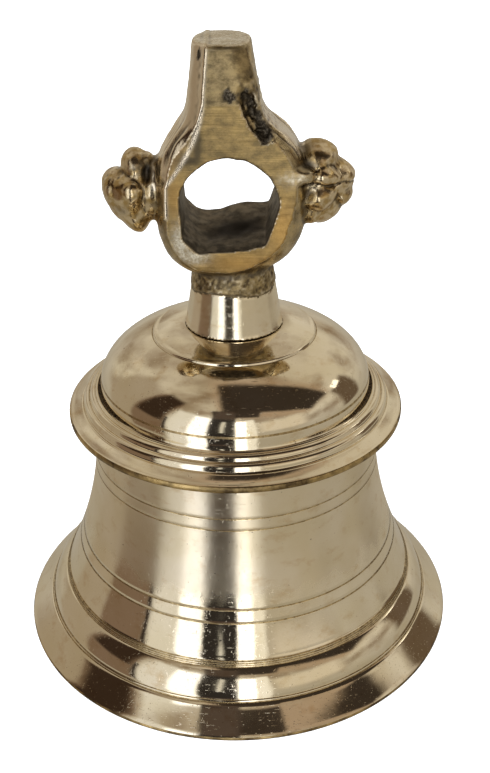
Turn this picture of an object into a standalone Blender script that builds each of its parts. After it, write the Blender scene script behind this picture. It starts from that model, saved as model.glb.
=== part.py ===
"""Temple bell.

A turned bell-bronze shell hangs from a cast crown: a conical stem, a thick loop
with a rough hole for the hanging hook, a knob on each side and a post on top.
An eye bolt comes up through the dome into the stem and is locked by a nut, and
a linked clapper swings from its eye.

Metres, +Z up.  The origin is on the bell's axis in the plane of the lip, and
the loop's ground front face looks along -Y.
"""

import math

import bmesh
import bpy
from mathutils import Vector

# Clearances
SEAT_GAP = 0.0003           # between two pieces that bear on each other
THREAD_GAP = 0.0003         # between a thread and its hole, both drawn plain
RUNNING_GAP = 0.0003        # between two links that turn on each other
FLOOR_CLEARANCE = 0.0070    # under the clapper when the bell stands on its lip

# Mouth of the shell, from the lip upwards
LIP_RADIUS = 0.0760
LIP_LAND = 0.0024           # width of the flat ring that the bell stands on
LIP_EDGE = 0.0010           # upright edge above that ring
LIP_CONE_WIDTH = 0.0081
LIP_CONE_HEIGHT = 0.0087
BAND_WIDTH = 0.0060
BAND_HEIGHT = 0.0092
BAND_BULGE = 0.0006
BOW_WALL = 0.0062           # thickest wall, where the clapper strikes

# Waist and shoulder flange
WAIST_HEIGHT = 0.0801       # from the lip to the underside of the flange
WAIST_INSET = 0.0025        # waist radius beyond the dome's
WAIST_FLARE = 2.13          # how late the waist opens out to the band
WAIST_WALL = 0.0045
FLANGE_WIDTH = 0.0050
FLANGE_EDGE = 0.0022
FLANGE_RISE = 0.0019
LOWER_BEAD_WIDTH = 0.0022
LOWER_BEAD_RISE = 0.0024
UPPER_BEAD_WIDTH = 0.0026
UPPER_BEAD_RISE = 0.0023
GROOVE_WIDTH = 0.0012
GROOVE_DEPTH = 0.0007       # below the bead beside it

# Dome and the raised plate under the stem
DOME_RADIUS = 0.0450
DOME_STEP = 0.0005          # dome's foot above the upper bead
DOME_RISE = 0.0179
DOME_FULLNESS = 2.2         # 2 would be an ellipse
DOME_WALL = 0.0045
CROWN_WALL = 0.0070
PLATE_RADIUS = 0.0268
PLATE_STEP = 0.0009
PLATE_RISE = 0.0022
PLATE_MARGIN = 0.0005       # flat seat beyond the stem's foot
INNER_SEAT_RADIUS = 0.0190

# Crown casting: stem, loop and post
STEM_FOOT_RADIUS = 0.0158
STEM_TOP_RADIUS = 0.0130
STEM_HEIGHT = 0.0168
LOOP_HALF_WIDTH = 0.0235
LOOP_HALF_DEPTH = 0.0152
LOOP_GROUND_DEPTH = 0.0140  # from the axis to each ground face
LOOP_HEIGHT = 0.0510
LOOP_SQUARENESS = 2.5       # 2 would be an ellipse in plan
POST_HEIGHT = 0.0219
POST_FOOT_HALF_WIDTH = 0.0129
POST_NECK_HALF_WIDTH = 0.0112
POST_NECK_RISE = 0.0032     # from the loop to where the post turns straight
POST_TOP_HALF_WIDTH = 0.0086
POST_FOOT_HALF_DEPTH = 0.0148
POST_TOP_HALF_DEPTH = 0.0100
POST_LEAN = -0.0022         # sideways, at its top
POST_TOP_TILT = math.radians(3.0)
HOLE_HALF_WIDTH = 0.0148
HOLE_HALF_HEIGHT = 0.0146
HOLE_CENTRE_HEIGHT = 0.0265  # above the top of the stem
HOLE_DRAFT = 0.0050         # how much higher its floor lies at the rear
KNOB_HEIGHT = 0.0290        # of a knob's middle above the top of the stem

# Lumps of each cast knob: out from the loop's side, forward, up from the knob's
# middle, and the three radii
LEFT_KNOB = {
    "neck": (0.0010, 0.0, -0.0010, (0.0070, 0.0090, 0.0095)),
    "top": (0.0047, 0.0010, 0.0060, (0.0060, 0.0070, 0.0062)),
    "tip": (0.0100, 0.0, -0.0018, (0.0062, 0.0080, 0.0066)),
    "bottom": (0.0061, 0.0010, -0.0079, (0.0058, 0.0066, 0.0058)),
    "front": (0.0050, 0.0065, -0.0015, (0.0058, 0.0050, 0.0056)),
    "rear": (0.0050, -0.0065, -0.0015, (0.0058, 0.0050, 0.0056)),
}
RIGHT_KNOB = {
    "neck": (0.0010, 0.0, 0.0010, (0.0070, 0.0090, 0.0095)),
    "top": (0.0040, 0.0010, 0.0078, (0.0062, 0.0070, 0.0064)),
    "tip": (0.0088, 0.0, 0.0004, (0.0060, 0.0080, 0.0062)),
    "bottom": (0.0054, 0.0010, -0.0070, (0.0054, 0.0066, 0.0056)),
    "front": (0.0048, 0.0065, -0.0005, (0.0058, 0.0050, 0.0056)),
    "rear": (0.0048, -0.0065, -0.0005, (0.0058, 0.0050, 0.0056)),
}

# Fastening through the dome
SHANK_RADIUS = 0.0040
SHANK_HOLE_GAP = 0.0005
SHANK_ENGAGEMENT = 0.0160   # length of thread inside the stem
SHANK_TIP_GAP = 0.0008
WASHER_RADIUS = 0.0120
WASHER_THICKNESS = 0.0016
LOCK_RING_RADIUS = 0.0072
LOCK_RING_THICKNESS = 0.0018
LOCK_RING_SPLIT = 0.0012
NUT_ACROSS_FLATS = 0.0130
NUT_HEIGHT = 0.0065
NUT_TO_EYE = 0.0010

# Eye, link and clapper
EYE_WIRE = 0.0022
EYE_SPARE = 0.0018          # eye's bore beyond the link's wire
LINK_WIRE = 0.0016
LINK_STRAIGHT = 0.0070
ROD_EYE_WIRE = 0.0020
ROD_RADIUS = 0.0034
TENON_RADIUS = 0.0025       # lower end of the rod, through the ball
TENON_TIP = 0.0010          # end of the rod below its nut
BALL_RADIUS = 0.0130
BALL_FLAT_RADIUS = 0.0050
END_NUT_ACROSS_FLATS = 0.0080
END_NUT_HEIGHT = 0.0040

# Facets
SHELL_STEPS = 64
ROUND_STEPS = 20
WIRE_STEPS = 8

# Heights and radii that follow
BOW_RADIUS = LIP_RADIUS - LIP_CONE_WIDTH
BAND_RADIUS = BOW_RADIUS - BAND_WIDTH
BAND_TOP = LIP_CONE_HEIGHT + BAND_HEIGHT
WAIST_RADIUS = DOME_RADIUS + WAIST_INSET
GROOVE_RADIUS = DOME_RADIUS + GROOVE_WIDTH
BEAD_STEP_RADIUS = GROOVE_RADIUS + UPPER_BEAD_WIDTH
BEAD_RADIUS = BEAD_STEP_RADIUS + LOWER_BEAD_WIDTH
FLANGE_RADIUS = BEAD_RADIUS + FLANGE_WIDTH
FLANGE_TOP = WAIST_HEIGHT + FLANGE_EDGE
BEAD_FOOT = FLANGE_TOP + FLANGE_RISE
BEAD_STEP = BEAD_FOOT + LOWER_BEAD_RISE
BEAD_TOP = BEAD_STEP + UPPER_BEAD_RISE
DOME_FOOT = BEAD_TOP + DOME_STEP
PLATE_FOOT = DOME_FOOT + DOME_RISE
SEAT_HEIGHT = PLATE_FOOT + PLATE_STEP + PLATE_RISE
INNER_SEAT_HEIGHT = SEAT_HEIGHT - CROWN_WALL
STEM_FOOT = SEAT_HEIGHT + SEAT_GAP
STEM_TOP = STEM_FOOT + STEM_HEIGHT
LOOP_TOP = STEM_TOP + LOOP_HEIGHT
POST_TOP = LOOP_TOP + POST_HEIGHT
HOLE_CENTRE = STEM_TOP + HOLE_CENTRE_HEIGHT
KNOB_CENTRE = STEM_TOP + KNOB_HEIGHT
WASHER_TOP = INNER_SEAT_HEIGHT - SEAT_GAP
LOCK_RING_TOP = WASHER_TOP - WASHER_THICKNESS - SEAT_GAP
NUT_TOP = LOCK_RING_TOP - LOCK_RING_THICKNESS - SEAT_GAP
EYE_BORE = LINK_WIRE + EYE_SPARE
EYE_RADIUS = EYE_BORE + EYE_WIRE
EYE_CENTRE = NUT_TOP - NUT_HEIGHT - NUT_TO_EYE - EYE_WIRE - EYE_RADIUS
LINK_PIVOT_HEIGHT = EYE_CENTRE - EYE_RADIUS
LINK_BEND = max(EYE_WIRE, ROD_EYE_WIRE) + RUNNING_GAP + LINK_WIRE
LINK_UPPER_CENTRE = LINK_PIVOT_HEIGHT + EYE_WIRE + RUNNING_GAP + LINK_WIRE - LINK_BEND
LINK_LOWER_CENTRE = LINK_UPPER_CENTRE - LINK_STRAIGHT
CLAPPER_PIVOT_HEIGHT = LINK_LOWER_CENTRE - LINK_BEND
ROD_EYE_RADIUS = LINK_WIRE + RUNNING_GAP + ROD_EYE_WIRE
END_NUT_FOOT = FLOOR_CLEARANCE + TENON_TIP
BALL_FOOT = END_NUT_FOOT + END_NUT_HEIGHT + SEAT_GAP
BALL_HALF_HEIGHT = math.sqrt(BALL_RADIUS ** 2 - BALL_FLAT_RADIUS ** 2)
BALL_CENTRE = BALL_FOOT + BALL_HALF_HEIGHT
ROD_SHOULDER = BALL_CENTRE + BALL_HALF_HEIGHT + SEAT_GAP


def clear_scene():
    for thing in list(bpy.data.objects):
        bpy.data.objects.remove(thing, do_unlink=True)


def finish(name, colour, roughness, metallic=1.0):
    """A Principled material of one plain metal."""
    made = bpy.data.materials.new(name)
    made.use_nodes = True
    shader = made.node_tree.nodes["Principled BSDF"]
    shader.inputs["Base Color"].default_value = (*colour, 1.0)
    shader.inputs["Roughness"].default_value = roughness
    shader.inputs["Metallic"].default_value = metallic
    return made


def pivot(name, height, parent=None):
    """An empty on a joint's axis, which carries the pieces that turn there."""
    empty = bpy.data.objects.new(name, None)
    bpy.context.collection.objects.link(empty)
    if parent is None:
        empty.location = (0.0, 0.0, height)
    else:
        empty.parent = parent
        empty.location = (0.0, 0.0, height - parent.location.z)
    return empty


def add_piece(name, shape, metal, carrier=None, carrier_height=0.0):
    """Turn a bmesh drawn in the bell's frame into a named object on its carrier."""
    bmesh.ops.translate(shape, verts=shape.verts, vec=(0.0, 0.0, -carrier_height))
    mesh = bpy.data.meshes.new(name)
    shape.to_mesh(mesh)
    shape.free()
    mesh.shade_smooth()
    mesh.set_sharp_from_angle(angle=math.radians(30.0))
    mesh.materials.append(metal)
    piece = bpy.data.objects.new(name, mesh)
    piece.parent = carrier
    bpy.context.collection.objects.link(piece)
    return piece


def combine(piece, tool, operation):
    """Join a tool to a piece, or cut the piece with it, and keep the tool out of sight."""
    tool.hide_render = True
    tool.display_type = "WIRE"
    change = piece.modifiers.new(tool.name, "BOOLEAN")
    change.operation = operation
    change.object = tool
    change.solver = "EXACT"


def spun(outline, steps=ROUND_STEPS):
    """Spin (radius, height) points about Z; an open outline starts and ends on the axis."""
    shape = bmesh.new()
    ring = [shape.verts.new((radius, 0.0, height)) for radius, height in outline]
    edges = [shape.edges.new(pair) for pair in zip(ring, ring[1:])]
    if outline[0][0] > 0.0:
        edges.append(shape.edges.new((ring[-1], ring[0])))
    bmesh.ops.spin(shape, geom=ring + edges, cent=(0, 0, 0), axis=(0, 0, 1),
                   angle=math.tau, steps=steps)
    bmesh.ops.remove_doubles(shape, verts=shape.verts, dist=1e-6)
    bmesh.ops.recalc_face_normals(shape, faces=shape.faces)
    return shape


def collar(outer, inner, foot, top):
    """Outline of a plain ring, for spinning."""
    return [(inner, foot), (outer, foot), (outer, top), (inner, top)]


def bar(radius, foot, top):
    """Outline of a solid round bar, for spinning."""
    return [(0.0, foot), (radius, foot), (radius, top), (0.0, top)]


def bulge(start, end, swell, steps):
    """Points from start to end on a shallow arc that stands proud of the chord."""
    run = Vector(end) - Vector(start)
    outward = Vector((-run.y, run.x)).normalized() * math.copysign(1.0, run.y)
    points = []
    for step in range(steps + 1):
        share = step / steps
        rise = swell * 4.0 * share * (1.0 - share)
        points.append(tuple(Vector(start) + run * share - outward * rise))
    return points


def quarter_round(foot, top, steps):
    """Points of a bead that leaves its foot upright and lies level at its top."""
    points = []
    for step in range(steps + 1):
        turn = math.pi / 2 * step / steps
        radius = top[0] + (foot[0] - top[0]) * math.cos(turn)
        points.append((radius, foot[1] + (top[1] - foot[1]) * math.sin(turn)))
    return points


def dome_curve(foot_radius, foot, rim_radius, rim, steps):
    """Points of a super-ellipse that rises from a vertical foot and ends at the rim."""
    cut = (rim_radius / foot_radius) ** DOME_FULLNESS
    full_rise = (rim - foot) / (1.0 - cut) ** (1.0 / DOME_FULLNESS)
    points = []
    for step in range(steps + 1):
        share = math.sin(math.pi / 2 * step / steps)
        height = (rim - foot) * share
        across = 1.0 - (height / full_rise) ** DOME_FULLNESS
        points.append((foot_radius * across ** (1.0 / DOME_FULLNESS), foot + height))
    return points


def waist_radius(height):
    """Outer radius of the waist, which opens out towards the band."""
    share = (height - BAND_TOP) / (WAIST_HEIGHT - BAND_TOP)
    return WAIST_RADIUS + (BAND_RADIUS - WAIST_RADIUS) * (1.0 - share) ** WAIST_FLARE


def waist_curve(wall, low, high, steps):
    """Points up the waist, moved inwards by a wall."""
    heights = [low + (high - low) * step / steps for step in range(steps + 1)]
    return [(waist_radius(height) - wall, height) for height in heights]


def shell_outline():
    """The shell's section: up the outside from the lip, then down the inside."""
    outer = [(LIP_RADIUS, 0.0), (LIP_RADIUS, LIP_EDGE)]
    outer += bulge((BOW_RADIUS, LIP_CONE_HEIGHT), (BAND_RADIUS, BAND_TOP), BAND_BULGE, 3)
    outer += waist_curve(0.0, BAND_TOP, WAIST_HEIGHT, 8)[1:]
    outer += [(FLANGE_RADIUS, WAIST_HEIGHT), (FLANGE_RADIUS, FLANGE_TOP)]
    outer += quarter_round((BEAD_RADIUS, BEAD_FOOT), (BEAD_STEP_RADIUS, BEAD_STEP), 3)
    outer += quarter_round((BEAD_STEP_RADIUS, BEAD_STEP), (GROOVE_RADIUS, BEAD_TOP), 3)[1:]
    outer.append((DOME_RADIUS + GROOVE_WIDTH / 2, BEAD_TOP - GROOVE_DEPTH))
    outer += dome_curve(DOME_RADIUS, DOME_FOOT, PLATE_RADIUS, PLATE_FOOT, 6)
    outer.append((PLATE_RADIUS - PLATE_STEP / 2, PLATE_FOOT + PLATE_STEP))
    outer.append((STEM_FOOT_RADIUS + PLATE_MARGIN, SEAT_HEIGHT))

    shank_hole = SHANK_RADIUS + SHANK_HOLE_GAP
    inner = [(shank_hole, SEAT_HEIGHT), (shank_hole, INNER_SEAT_HEIGHT)]
    dome_inside = dome_curve(DOME_RADIUS - DOME_WALL, FLANGE_TOP + FLANGE_RISE,
                             INNER_SEAT_RADIUS, INNER_SEAT_HEIGHT, 4)
    inner += reversed(dome_inside)
    inner += reversed(waist_curve(WAIST_WALL, BAND_TOP, WAIST_HEIGHT, 4))
    inner.append((BOW_RADIUS - BOW_WALL, LIP_CONE_HEIGHT))
    inner.append((LIP_RADIUS - LIP_LAND, 0.0))
    return outer + inner


def plan_section(height, middle, half_width, half_depth, squareness, steps=40):
    """A super-ellipse seen from above, as points round the crown casting."""
    points = []
    for step in range(steps):
        turn = math.tau * step / steps
        across, along = math.cos(turn), math.sin(turn)
        x = middle + half_width * math.copysign(abs(across) ** (2.0 / squareness), across)
        y = half_depth * math.copysign(abs(along) ** (2.0 / squareness), along)
        points.append(Vector((x, y, height)))
    return points


def crown_stations():
    """(height, middle, half width, half depth, squareness) up the crown casting."""
    stations = [
        (STEM_FOOT, 0.0, STEM_FOOT_RADIUS, STEM_FOOT_RADIUS, 2.0),
        (STEM_TOP, 0.0, STEM_TOP_RADIUS, STEM_TOP_RADIUS, 2.0),
    ]
    swell = LOOP_HALF_WIDTH - STEM_TOP_RADIUS
    depth = LOOP_HALF_DEPTH - STEM_TOP_RADIUS
    for up, out in ((0.05, 0.10), (0.10, 0.38), (0.16, 0.60), (0.30, 0.82), (0.46, 1.0), (0.62, 1.0)):
        stations.append((STEM_TOP + LOOP_HEIGHT * up, 0.0, STEM_TOP_RADIUS + swell * out,
                         STEM_TOP_RADIUS + depth * min(1.0, out * 1.6), LOOP_SQUARENESS))
    spread = LOOP_HALF_WIDTH - POST_FOOT_HALF_WIDTH
    for up, out in ((0.76, 0.92), (0.84, 0.76), (0.90, 0.52), (0.95, 0.28)):
        stations.append((STEM_TOP + LOOP_HEIGHT * up, POST_LEAN * up * up / 2,
                         POST_FOOT_HALF_WIDTH + spread * out, LOOP_HALF_DEPTH, LOOP_SQUARENESS))
    rise = POST_HEIGHT - POST_NECK_RISE
    stations.append((LOOP_TOP, POST_LEAN * 0.7, POST_FOOT_HALF_WIDTH, POST_FOOT_HALF_DEPTH,
                     LOOP_SQUARENESS))
    for up in (0.0, 0.5, 1.0):
        stations.append((LOOP_TOP + POST_NECK_RISE + rise * up, POST_LEAN * (0.8 + 0.2 * up),
                         POST_NECK_HALF_WIDTH + (POST_TOP_HALF_WIDTH - POST_NECK_HALF_WIDTH) * up,
                         POST_FOOT_HALF_DEPTH + (POST_TOP_HALF_DEPTH - POST_FOOT_HALF_DEPTH) * up,
                         LOOP_SQUARENESS))
    return stations


def crown_body():
    """Loft the crown casting through its stations, with a slightly tilted top."""
    shape = bmesh.new()
    sections = [plan_section(*station) for station in crown_stations()]
    for point in sections[-1]:
        point.z += point.y * math.tan(POST_TOP_TILT)
    rings = [[shape.verts.new(point) for point in section] for section in sections]
    for lower, upper in zip(rings, rings[1:]):
        for here in range(len(lower)):
            after = (here + 1) % len(lower)
            shape.faces.new((lower[here], lower[after], upper[after], upper[here]))
    shape.faces.new(list(reversed(rings[0])))
    shape.faces.new(rings[-1])
    return shape


def block(low, high):
    """A plain box between two corners."""
    shape = bmesh.new()
    bmesh.ops.create_cube(shape, size=1.0)
    size = Vector(high) - Vector(low)
    middle = (Vector(high) + Vector(low)) / 2
    bmesh.ops.scale(shape, verts=shape.verts, vec=size)
    bmesh.ops.translate(shape, verts=shape.verts, vec=middle)
    return shape


def hole_outline(y, floor_rise):
    """The cast hole, an uneven hexagon with soft corners, at one depth."""
    corners = [(-1.06, -0.20), (-1.0, -0.62), (-0.72, -1.04), (0.30, -0.98), (0.80, -0.84),
               (1.0, 0.08), (0.62, 0.86), (0.05, 1.06), (-0.54, 0.95), (-1.0, 0.68)]
    points = []
    for here, corner in enumerate(corners):
        before = Vector(corners[here - 1])
        after = Vector(corners[(here + 1) % len(corners)])
        middle = Vector(corner)
        points += [middle.lerp(before, 0.22), middle.lerp(after, 0.22)]
    shrink = floor_rise / 2
    half_width, half_height = HOLE_HALF_WIDTH - shrink / 3, HOLE_HALF_HEIGHT - shrink
    return [Vector((point.x * half_width, y, HOLE_CENTRE + point.y * half_height))
            for point in points]


def hole_cutter():
    """The hook's hole right through the loop, narrower at the rear from the mould's draft."""
    shape = bmesh.new()
    reach = LOOP_HALF_DEPTH + SEAT_GAP
    rims = [[shape.verts.new(point) for point in hole_outline(y, rise)]
            for y, rise in ((-reach, 0.0), (reach, HOLE_DRAFT))]
    front, rear = rims
    for here in range(len(front)):
        after = (here + 1) % len(front)
        shape.faces.new((front[here], front[after], rear[after], rear[here]))
    shape.faces.new(list(reversed(front)))
    shape.faces.new(rear)
    bmesh.ops.recalc_face_normals(shape, faces=shape.faces)
    return shape


def lobe(x, y, z, radii):
    """One rounded lump of a knob."""
    shape = bmesh.new()
    bmesh.ops.create_uvsphere(shape, u_segments=12, v_segments=8, radius=1.0)
    bmesh.ops.scale(shape, verts=shape.verts, vec=radii)
    bmesh.ops.translate(shape, verts=shape.verts, vec=(x, y, z))
    return shape


def make_crown_loop(metal):
    loop = add_piece("crown_loop", crown_body(), metal)
    for side, hand, lumps in (("left", -1.0, LEFT_KNOB), ("right", 1.0, RIGHT_KNOB)):
        for name, (out, forward, up, radii) in lumps.items():
            shape = lobe(hand * (LOOP_HALF_WIDTH + out), -forward, KNOB_CENTRE + up, radii)
            combine(loop, add_piece(f"{side}_knob_{name}", shape, metal), "UNION")
    far = 4 * LOOP_HALF_WIDTH
    for side, hand in (("front", -1.0), ("rear", 1.0)):
        near, outer = sorted((hand * LOOP_GROUND_DEPTH, hand * far))
        shape = block((-far, near, STEM_TOP), (far, outer, POST_TOP + far))
        combine(loop, add_piece(f"{side}_grinding", shape, metal), "DIFFERENCE")
    combine(loop, add_piece("hook_hole", hole_cutter(), metal), "DIFFERENCE")
    thread = bar(SHANK_RADIUS + THREAD_GAP, STEM_FOOT - STEM_HEIGHT,
                 STEM_FOOT + SHANK_ENGAGEMENT + SHANK_TIP_GAP)
    combine(loop, add_piece("stem_thread", spun(thread), metal), "DIFFERENCE")


def wire_loop(path, wire, sideways):
    """A closed ring of round wire along (sideways, height) points in an upright plane."""
    shape = bmesh.new()
    across = sideways.cross(Vector((0.0, 0.0, 1.0)))
    rings = []
    for here, (out, height) in enumerate(path):
        ahead, behind = path[(here + 1) % len(path)], path[here - 1]
        run = Vector((ahead[0] - behind[0], ahead[1] - behind[1])).normalized()
        normal = sideways * run.y - Vector((0.0, 0.0, run.x))
        centre = sideways * out + Vector((0.0, 0.0, height))
        turns = [math.tau * step / WIRE_STEPS for step in range(WIRE_STEPS)]
        rings.append([shape.verts.new(centre + (normal * math.cos(turn) + across * math.sin(turn))
                                      * wire) for turn in turns])
    for here, ring in enumerate(rings):
        following = rings[(here + 1) % len(rings)]
        for step in range(WIRE_STEPS):
            after = (step + 1) % WIRE_STEPS
            shape.faces.new((ring[step], ring[after], following[after], following[step]))
    bmesh.ops.recalc_face_normals(shape, faces=shape.faces)
    return shape


def circle_path(radius, centre, steps=ROUND_STEPS):
    turns = [math.tau * step / steps for step in range(steps)]
    return [(radius * math.cos(turn), centre + radius * math.sin(turn)) for turn in turns]


def oval_path(radius, upper, lower, steps=10):
    """A half circle over the upper centre and one under the lower centre."""
    points = []
    for centre, start in ((upper, 0.0), (lower, math.pi)):
        for step in range(steps + 1):
            turn = start + math.pi * step / steps
            points.append((radius * math.cos(turn), centre + radius * math.sin(turn)))
    return points


def make_nut(name, across_flats, height, bore, foot, metal, carrier=None, carrier_height=0.0):
    """A plain hexagon nut with its thread drawn as a smooth bore."""
    shape = bmesh.new()
    corner = across_flats / 2 / math.cos(math.pi / 6)
    bmesh.ops.create_cone(shape, cap_ends=True, segments=6, radius1=corner, radius2=corner,
                          depth=height)
    bmesh.ops.translate(shape, verts=shape.verts, vec=(0.0, 0.0, foot + height / 2))
    nut = add_piece(name, shape, metal, carrier, carrier_height)
    cutter = spun(bar(bore, foot - height, foot + 2 * height))
    tool = add_piece(f"{name}_bore", cutter, metal, carrier, carrier_height)
    combine(nut, tool, "DIFFERENCE")


def make_eye_bolt(metal):
    """The bolt's shank and its eye, which lies in the XZ plane."""
    shank = bar(SHANK_RADIUS, EYE_CENTRE + EYE_RADIUS, STEM_FOOT + SHANK_ENGAGEMENT)
    bolt = add_piece("crown_eye_bolt", spun(shank), metal)
    eye = wire_loop(circle_path(EYE_RADIUS, EYE_CENTRE), EYE_WIRE, Vector((1, 0, 0)))
    combine(bolt, add_piece("eye_bolt_ring", eye, metal), "UNION")


def make_lock_ring(metal):
    """A split spring washer, drawn flat as it lies under the nut."""
    foot = LOCK_RING_TOP - LOCK_RING_THICKNESS
    outline = collar(LOCK_RING_RADIUS, SHANK_RADIUS + SHANK_HOLE_GAP, foot, LOCK_RING_TOP)
    ring = add_piece("crown_lock_washer", spun(outline), metal)
    split = block((0.0, -LOCK_RING_SPLIT / 2, foot - LOCK_RING_THICKNESS),
                  (2 * LOCK_RING_RADIUS, LOCK_RING_SPLIT / 2, LOCK_RING_TOP + LOCK_RING_THICKNESS))
    combine(ring, add_piece("lock_washer_split", split, metal), "DIFFERENCE")


def make_fastening(metal):
    make_eye_bolt(metal)
    washer = collar(WASHER_RADIUS, SHANK_RADIUS + SHANK_HOLE_GAP,
                    WASHER_TOP - WASHER_THICKNESS, WASHER_TOP)
    add_piece("crown_washer", spun(washer), metal)
    make_lock_ring(metal)
    make_nut("crown_nut", NUT_ACROSS_FLATS, NUT_HEIGHT, SHANK_RADIUS + THREAD_GAP,
             NUT_TOP - NUT_HEIGHT, metal)


def make_link(metal, carrier):
    """The oval link that joins the bolt's eye to the rod's, in the YZ plane."""
    path = oval_path(LINK_BEND, LINK_UPPER_CENTRE, LINK_LOWER_CENTRE)
    shape = wire_loop(path, LINK_WIRE, Vector((0, 1, 0)))
    add_piece("clapper_link", shape, metal, carrier, LINK_PIVOT_HEIGHT)


def make_rod(metal, carrier):
    """The clapper's rod: an eye on top, a shoulder on the ball and a thin threaded end."""
    outline = [(0.0, FLOOR_CLEARANCE), (TENON_RADIUS, FLOOR_CLEARANCE),
               (TENON_RADIUS, ROD_SHOULDER), (ROD_RADIUS, ROD_SHOULDER),
               (ROD_EYE_WIRE, CLAPPER_PIVOT_HEIGHT - ROD_EYE_RADIUS),
               (0.0, CLAPPER_PIVOT_HEIGHT - ROD_EYE_RADIUS)]
    rod = add_piece("clapper_rod", spun(outline), metal, carrier, CLAPPER_PIVOT_HEIGHT)
    path = circle_path(ROD_EYE_RADIUS, CLAPPER_PIVOT_HEIGHT)
    eye = wire_loop(path, ROD_EYE_WIRE, Vector((1, 0, 0)))
    tool = add_piece("clapper_rod_ring", eye, metal, carrier, CLAPPER_PIVOT_HEIGHT)
    combine(rod, tool, "UNION")


def make_ball(metal, carrier):
    """The striker, bored for the rod and faced flat for its shoulder and nut."""
    bore = TENON_RADIUS + THREAD_GAP
    flat = math.asin(BALL_FLAT_RADIUS / BALL_RADIUS)
    outline = [(bore, BALL_CENTRE - BALL_HALF_HEIGHT)]
    steps = 12
    for step in range(steps + 1):
        turn = flat + (math.pi - 2 * flat) * step / steps
        outline.append((BALL_RADIUS * math.sin(turn), BALL_CENTRE - BALL_RADIUS * math.cos(turn)))
    outline.append((bore, BALL_CENTRE + BALL_HALF_HEIGHT))
    add_piece("clapper_ball", spun(outline), metal, carrier, CLAPPER_PIVOT_HEIGHT)


def make_clapper(iron, steel):
    link_pivot = pivot("link_pivot", LINK_PIVOT_HEIGHT)
    clapper_pivot = pivot("clapper_pivot", CLAPPER_PIVOT_HEIGHT, link_pivot)
    make_link(steel, link_pivot)
    make_rod(iron, clapper_pivot)
    make_ball(iron, clapper_pivot)
    make_nut("clapper_end_nut", END_NUT_ACROSS_FLATS, END_NUT_HEIGHT, TENON_RADIUS + THREAD_GAP,
             END_NUT_FOOT, steel, clapper_pivot, CLAPPER_PIVOT_HEIGHT)


def make_bell():
    clear_scene()
    add_piece("bell_shell", spun(shell_outline(), SHELL_STEPS),
              finish("polished_bell_bronze", (0.66, 0.55, 0.36), 0.14))
    make_crown_loop(finish("cast_bell_bronze", (0.55, 0.40, 0.18), 0.38))
    make_fastening(finish("zinc_plated_steel", (0.62, 0.62, 0.60), 0.35))
    make_clapper(finish("black_iron", (0.10, 0.09, 0.08), 0.55, 0.9),
                 finish("bright_steel", (0.50, 0.49, 0.47), 0.35))


make_bell()
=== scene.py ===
import math

import bmesh
import bpy
import numpy as np
from mathutils import Matrix, Vector, noise


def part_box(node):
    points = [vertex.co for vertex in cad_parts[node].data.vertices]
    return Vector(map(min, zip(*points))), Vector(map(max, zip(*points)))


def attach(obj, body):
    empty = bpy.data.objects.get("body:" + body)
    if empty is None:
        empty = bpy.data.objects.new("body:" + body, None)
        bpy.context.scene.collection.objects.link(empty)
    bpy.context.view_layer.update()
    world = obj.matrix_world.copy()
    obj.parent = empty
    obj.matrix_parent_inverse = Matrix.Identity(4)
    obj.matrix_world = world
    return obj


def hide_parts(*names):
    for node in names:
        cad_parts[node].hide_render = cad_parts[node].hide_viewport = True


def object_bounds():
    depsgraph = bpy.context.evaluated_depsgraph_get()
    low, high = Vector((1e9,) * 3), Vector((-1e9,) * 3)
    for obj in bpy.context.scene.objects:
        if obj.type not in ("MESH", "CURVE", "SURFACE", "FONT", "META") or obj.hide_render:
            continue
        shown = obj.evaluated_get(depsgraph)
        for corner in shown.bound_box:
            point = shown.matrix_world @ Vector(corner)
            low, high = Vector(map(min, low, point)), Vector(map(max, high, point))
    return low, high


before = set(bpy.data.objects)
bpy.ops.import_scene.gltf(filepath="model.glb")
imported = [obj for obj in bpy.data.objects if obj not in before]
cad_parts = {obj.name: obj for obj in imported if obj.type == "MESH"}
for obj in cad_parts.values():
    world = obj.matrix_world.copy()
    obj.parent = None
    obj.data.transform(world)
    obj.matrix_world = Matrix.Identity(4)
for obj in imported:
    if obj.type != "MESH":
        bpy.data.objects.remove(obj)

cad_low, cad_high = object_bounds()
MM = 0.001  # every size below is in millimetres, and meshes are scaled by this


# The studio
# A pale floor and a white sweep.  Big soft windows stand on both sides of the camera, with dark
# cloth and brown boards between them for the polished bronze to mirror.
view = bpy.context.scene.view_settings
view.view_transform = "Standard"
view.look = "None"

camera_data = bpy.data.cameras.new("camera")
camera_data.sensor_width = 36.0
camera_data.lens = 50.13
camera = bpy.data.objects.new("camera", camera_data)
camera.location = (0.0033, -0.3196, 0.2609)
tilt_down, roll = math.radians(28.734), math.radians(-0.659)
camera.rotation_euler = (Matrix.Rotation(math.pi / 2 - tilt_down, 3, "X")
                         @ Matrix.Rotation(roll, 3, "Z")).to_euler()
bpy.context.scene.collection.objects.link(camera)
bpy.context.scene.camera = camera

bell_middle = (0.0, 0.0, 0.06)
for name, place, size, power in (("key_lamp", (-0.70, -0.80, 1.20), 0.8, 26.0),
                                 ("fill_lamp", (0.90, -0.50, 1.00), 0.8, 18.0),
                                 ("back_lamp", (0.10, 1.20, 1.10), 1.0, 22.0)):
    lamp_data = bpy.data.lights.new(name, "AREA")
    lamp_data.size = size
    lamp_data.energy = power
    lamp = bpy.data.objects.new(name, lamp_data)
    lamp.location = place
    lamp.rotation_euler = (Vector(bell_middle) - Vector(place)).to_track_quat("-Z", "Y").to_euler()
    lamp.visible_camera = False
    lamp.visible_glossy = False
    bpy.context.scene.collection.objects.link(lamp)

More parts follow.
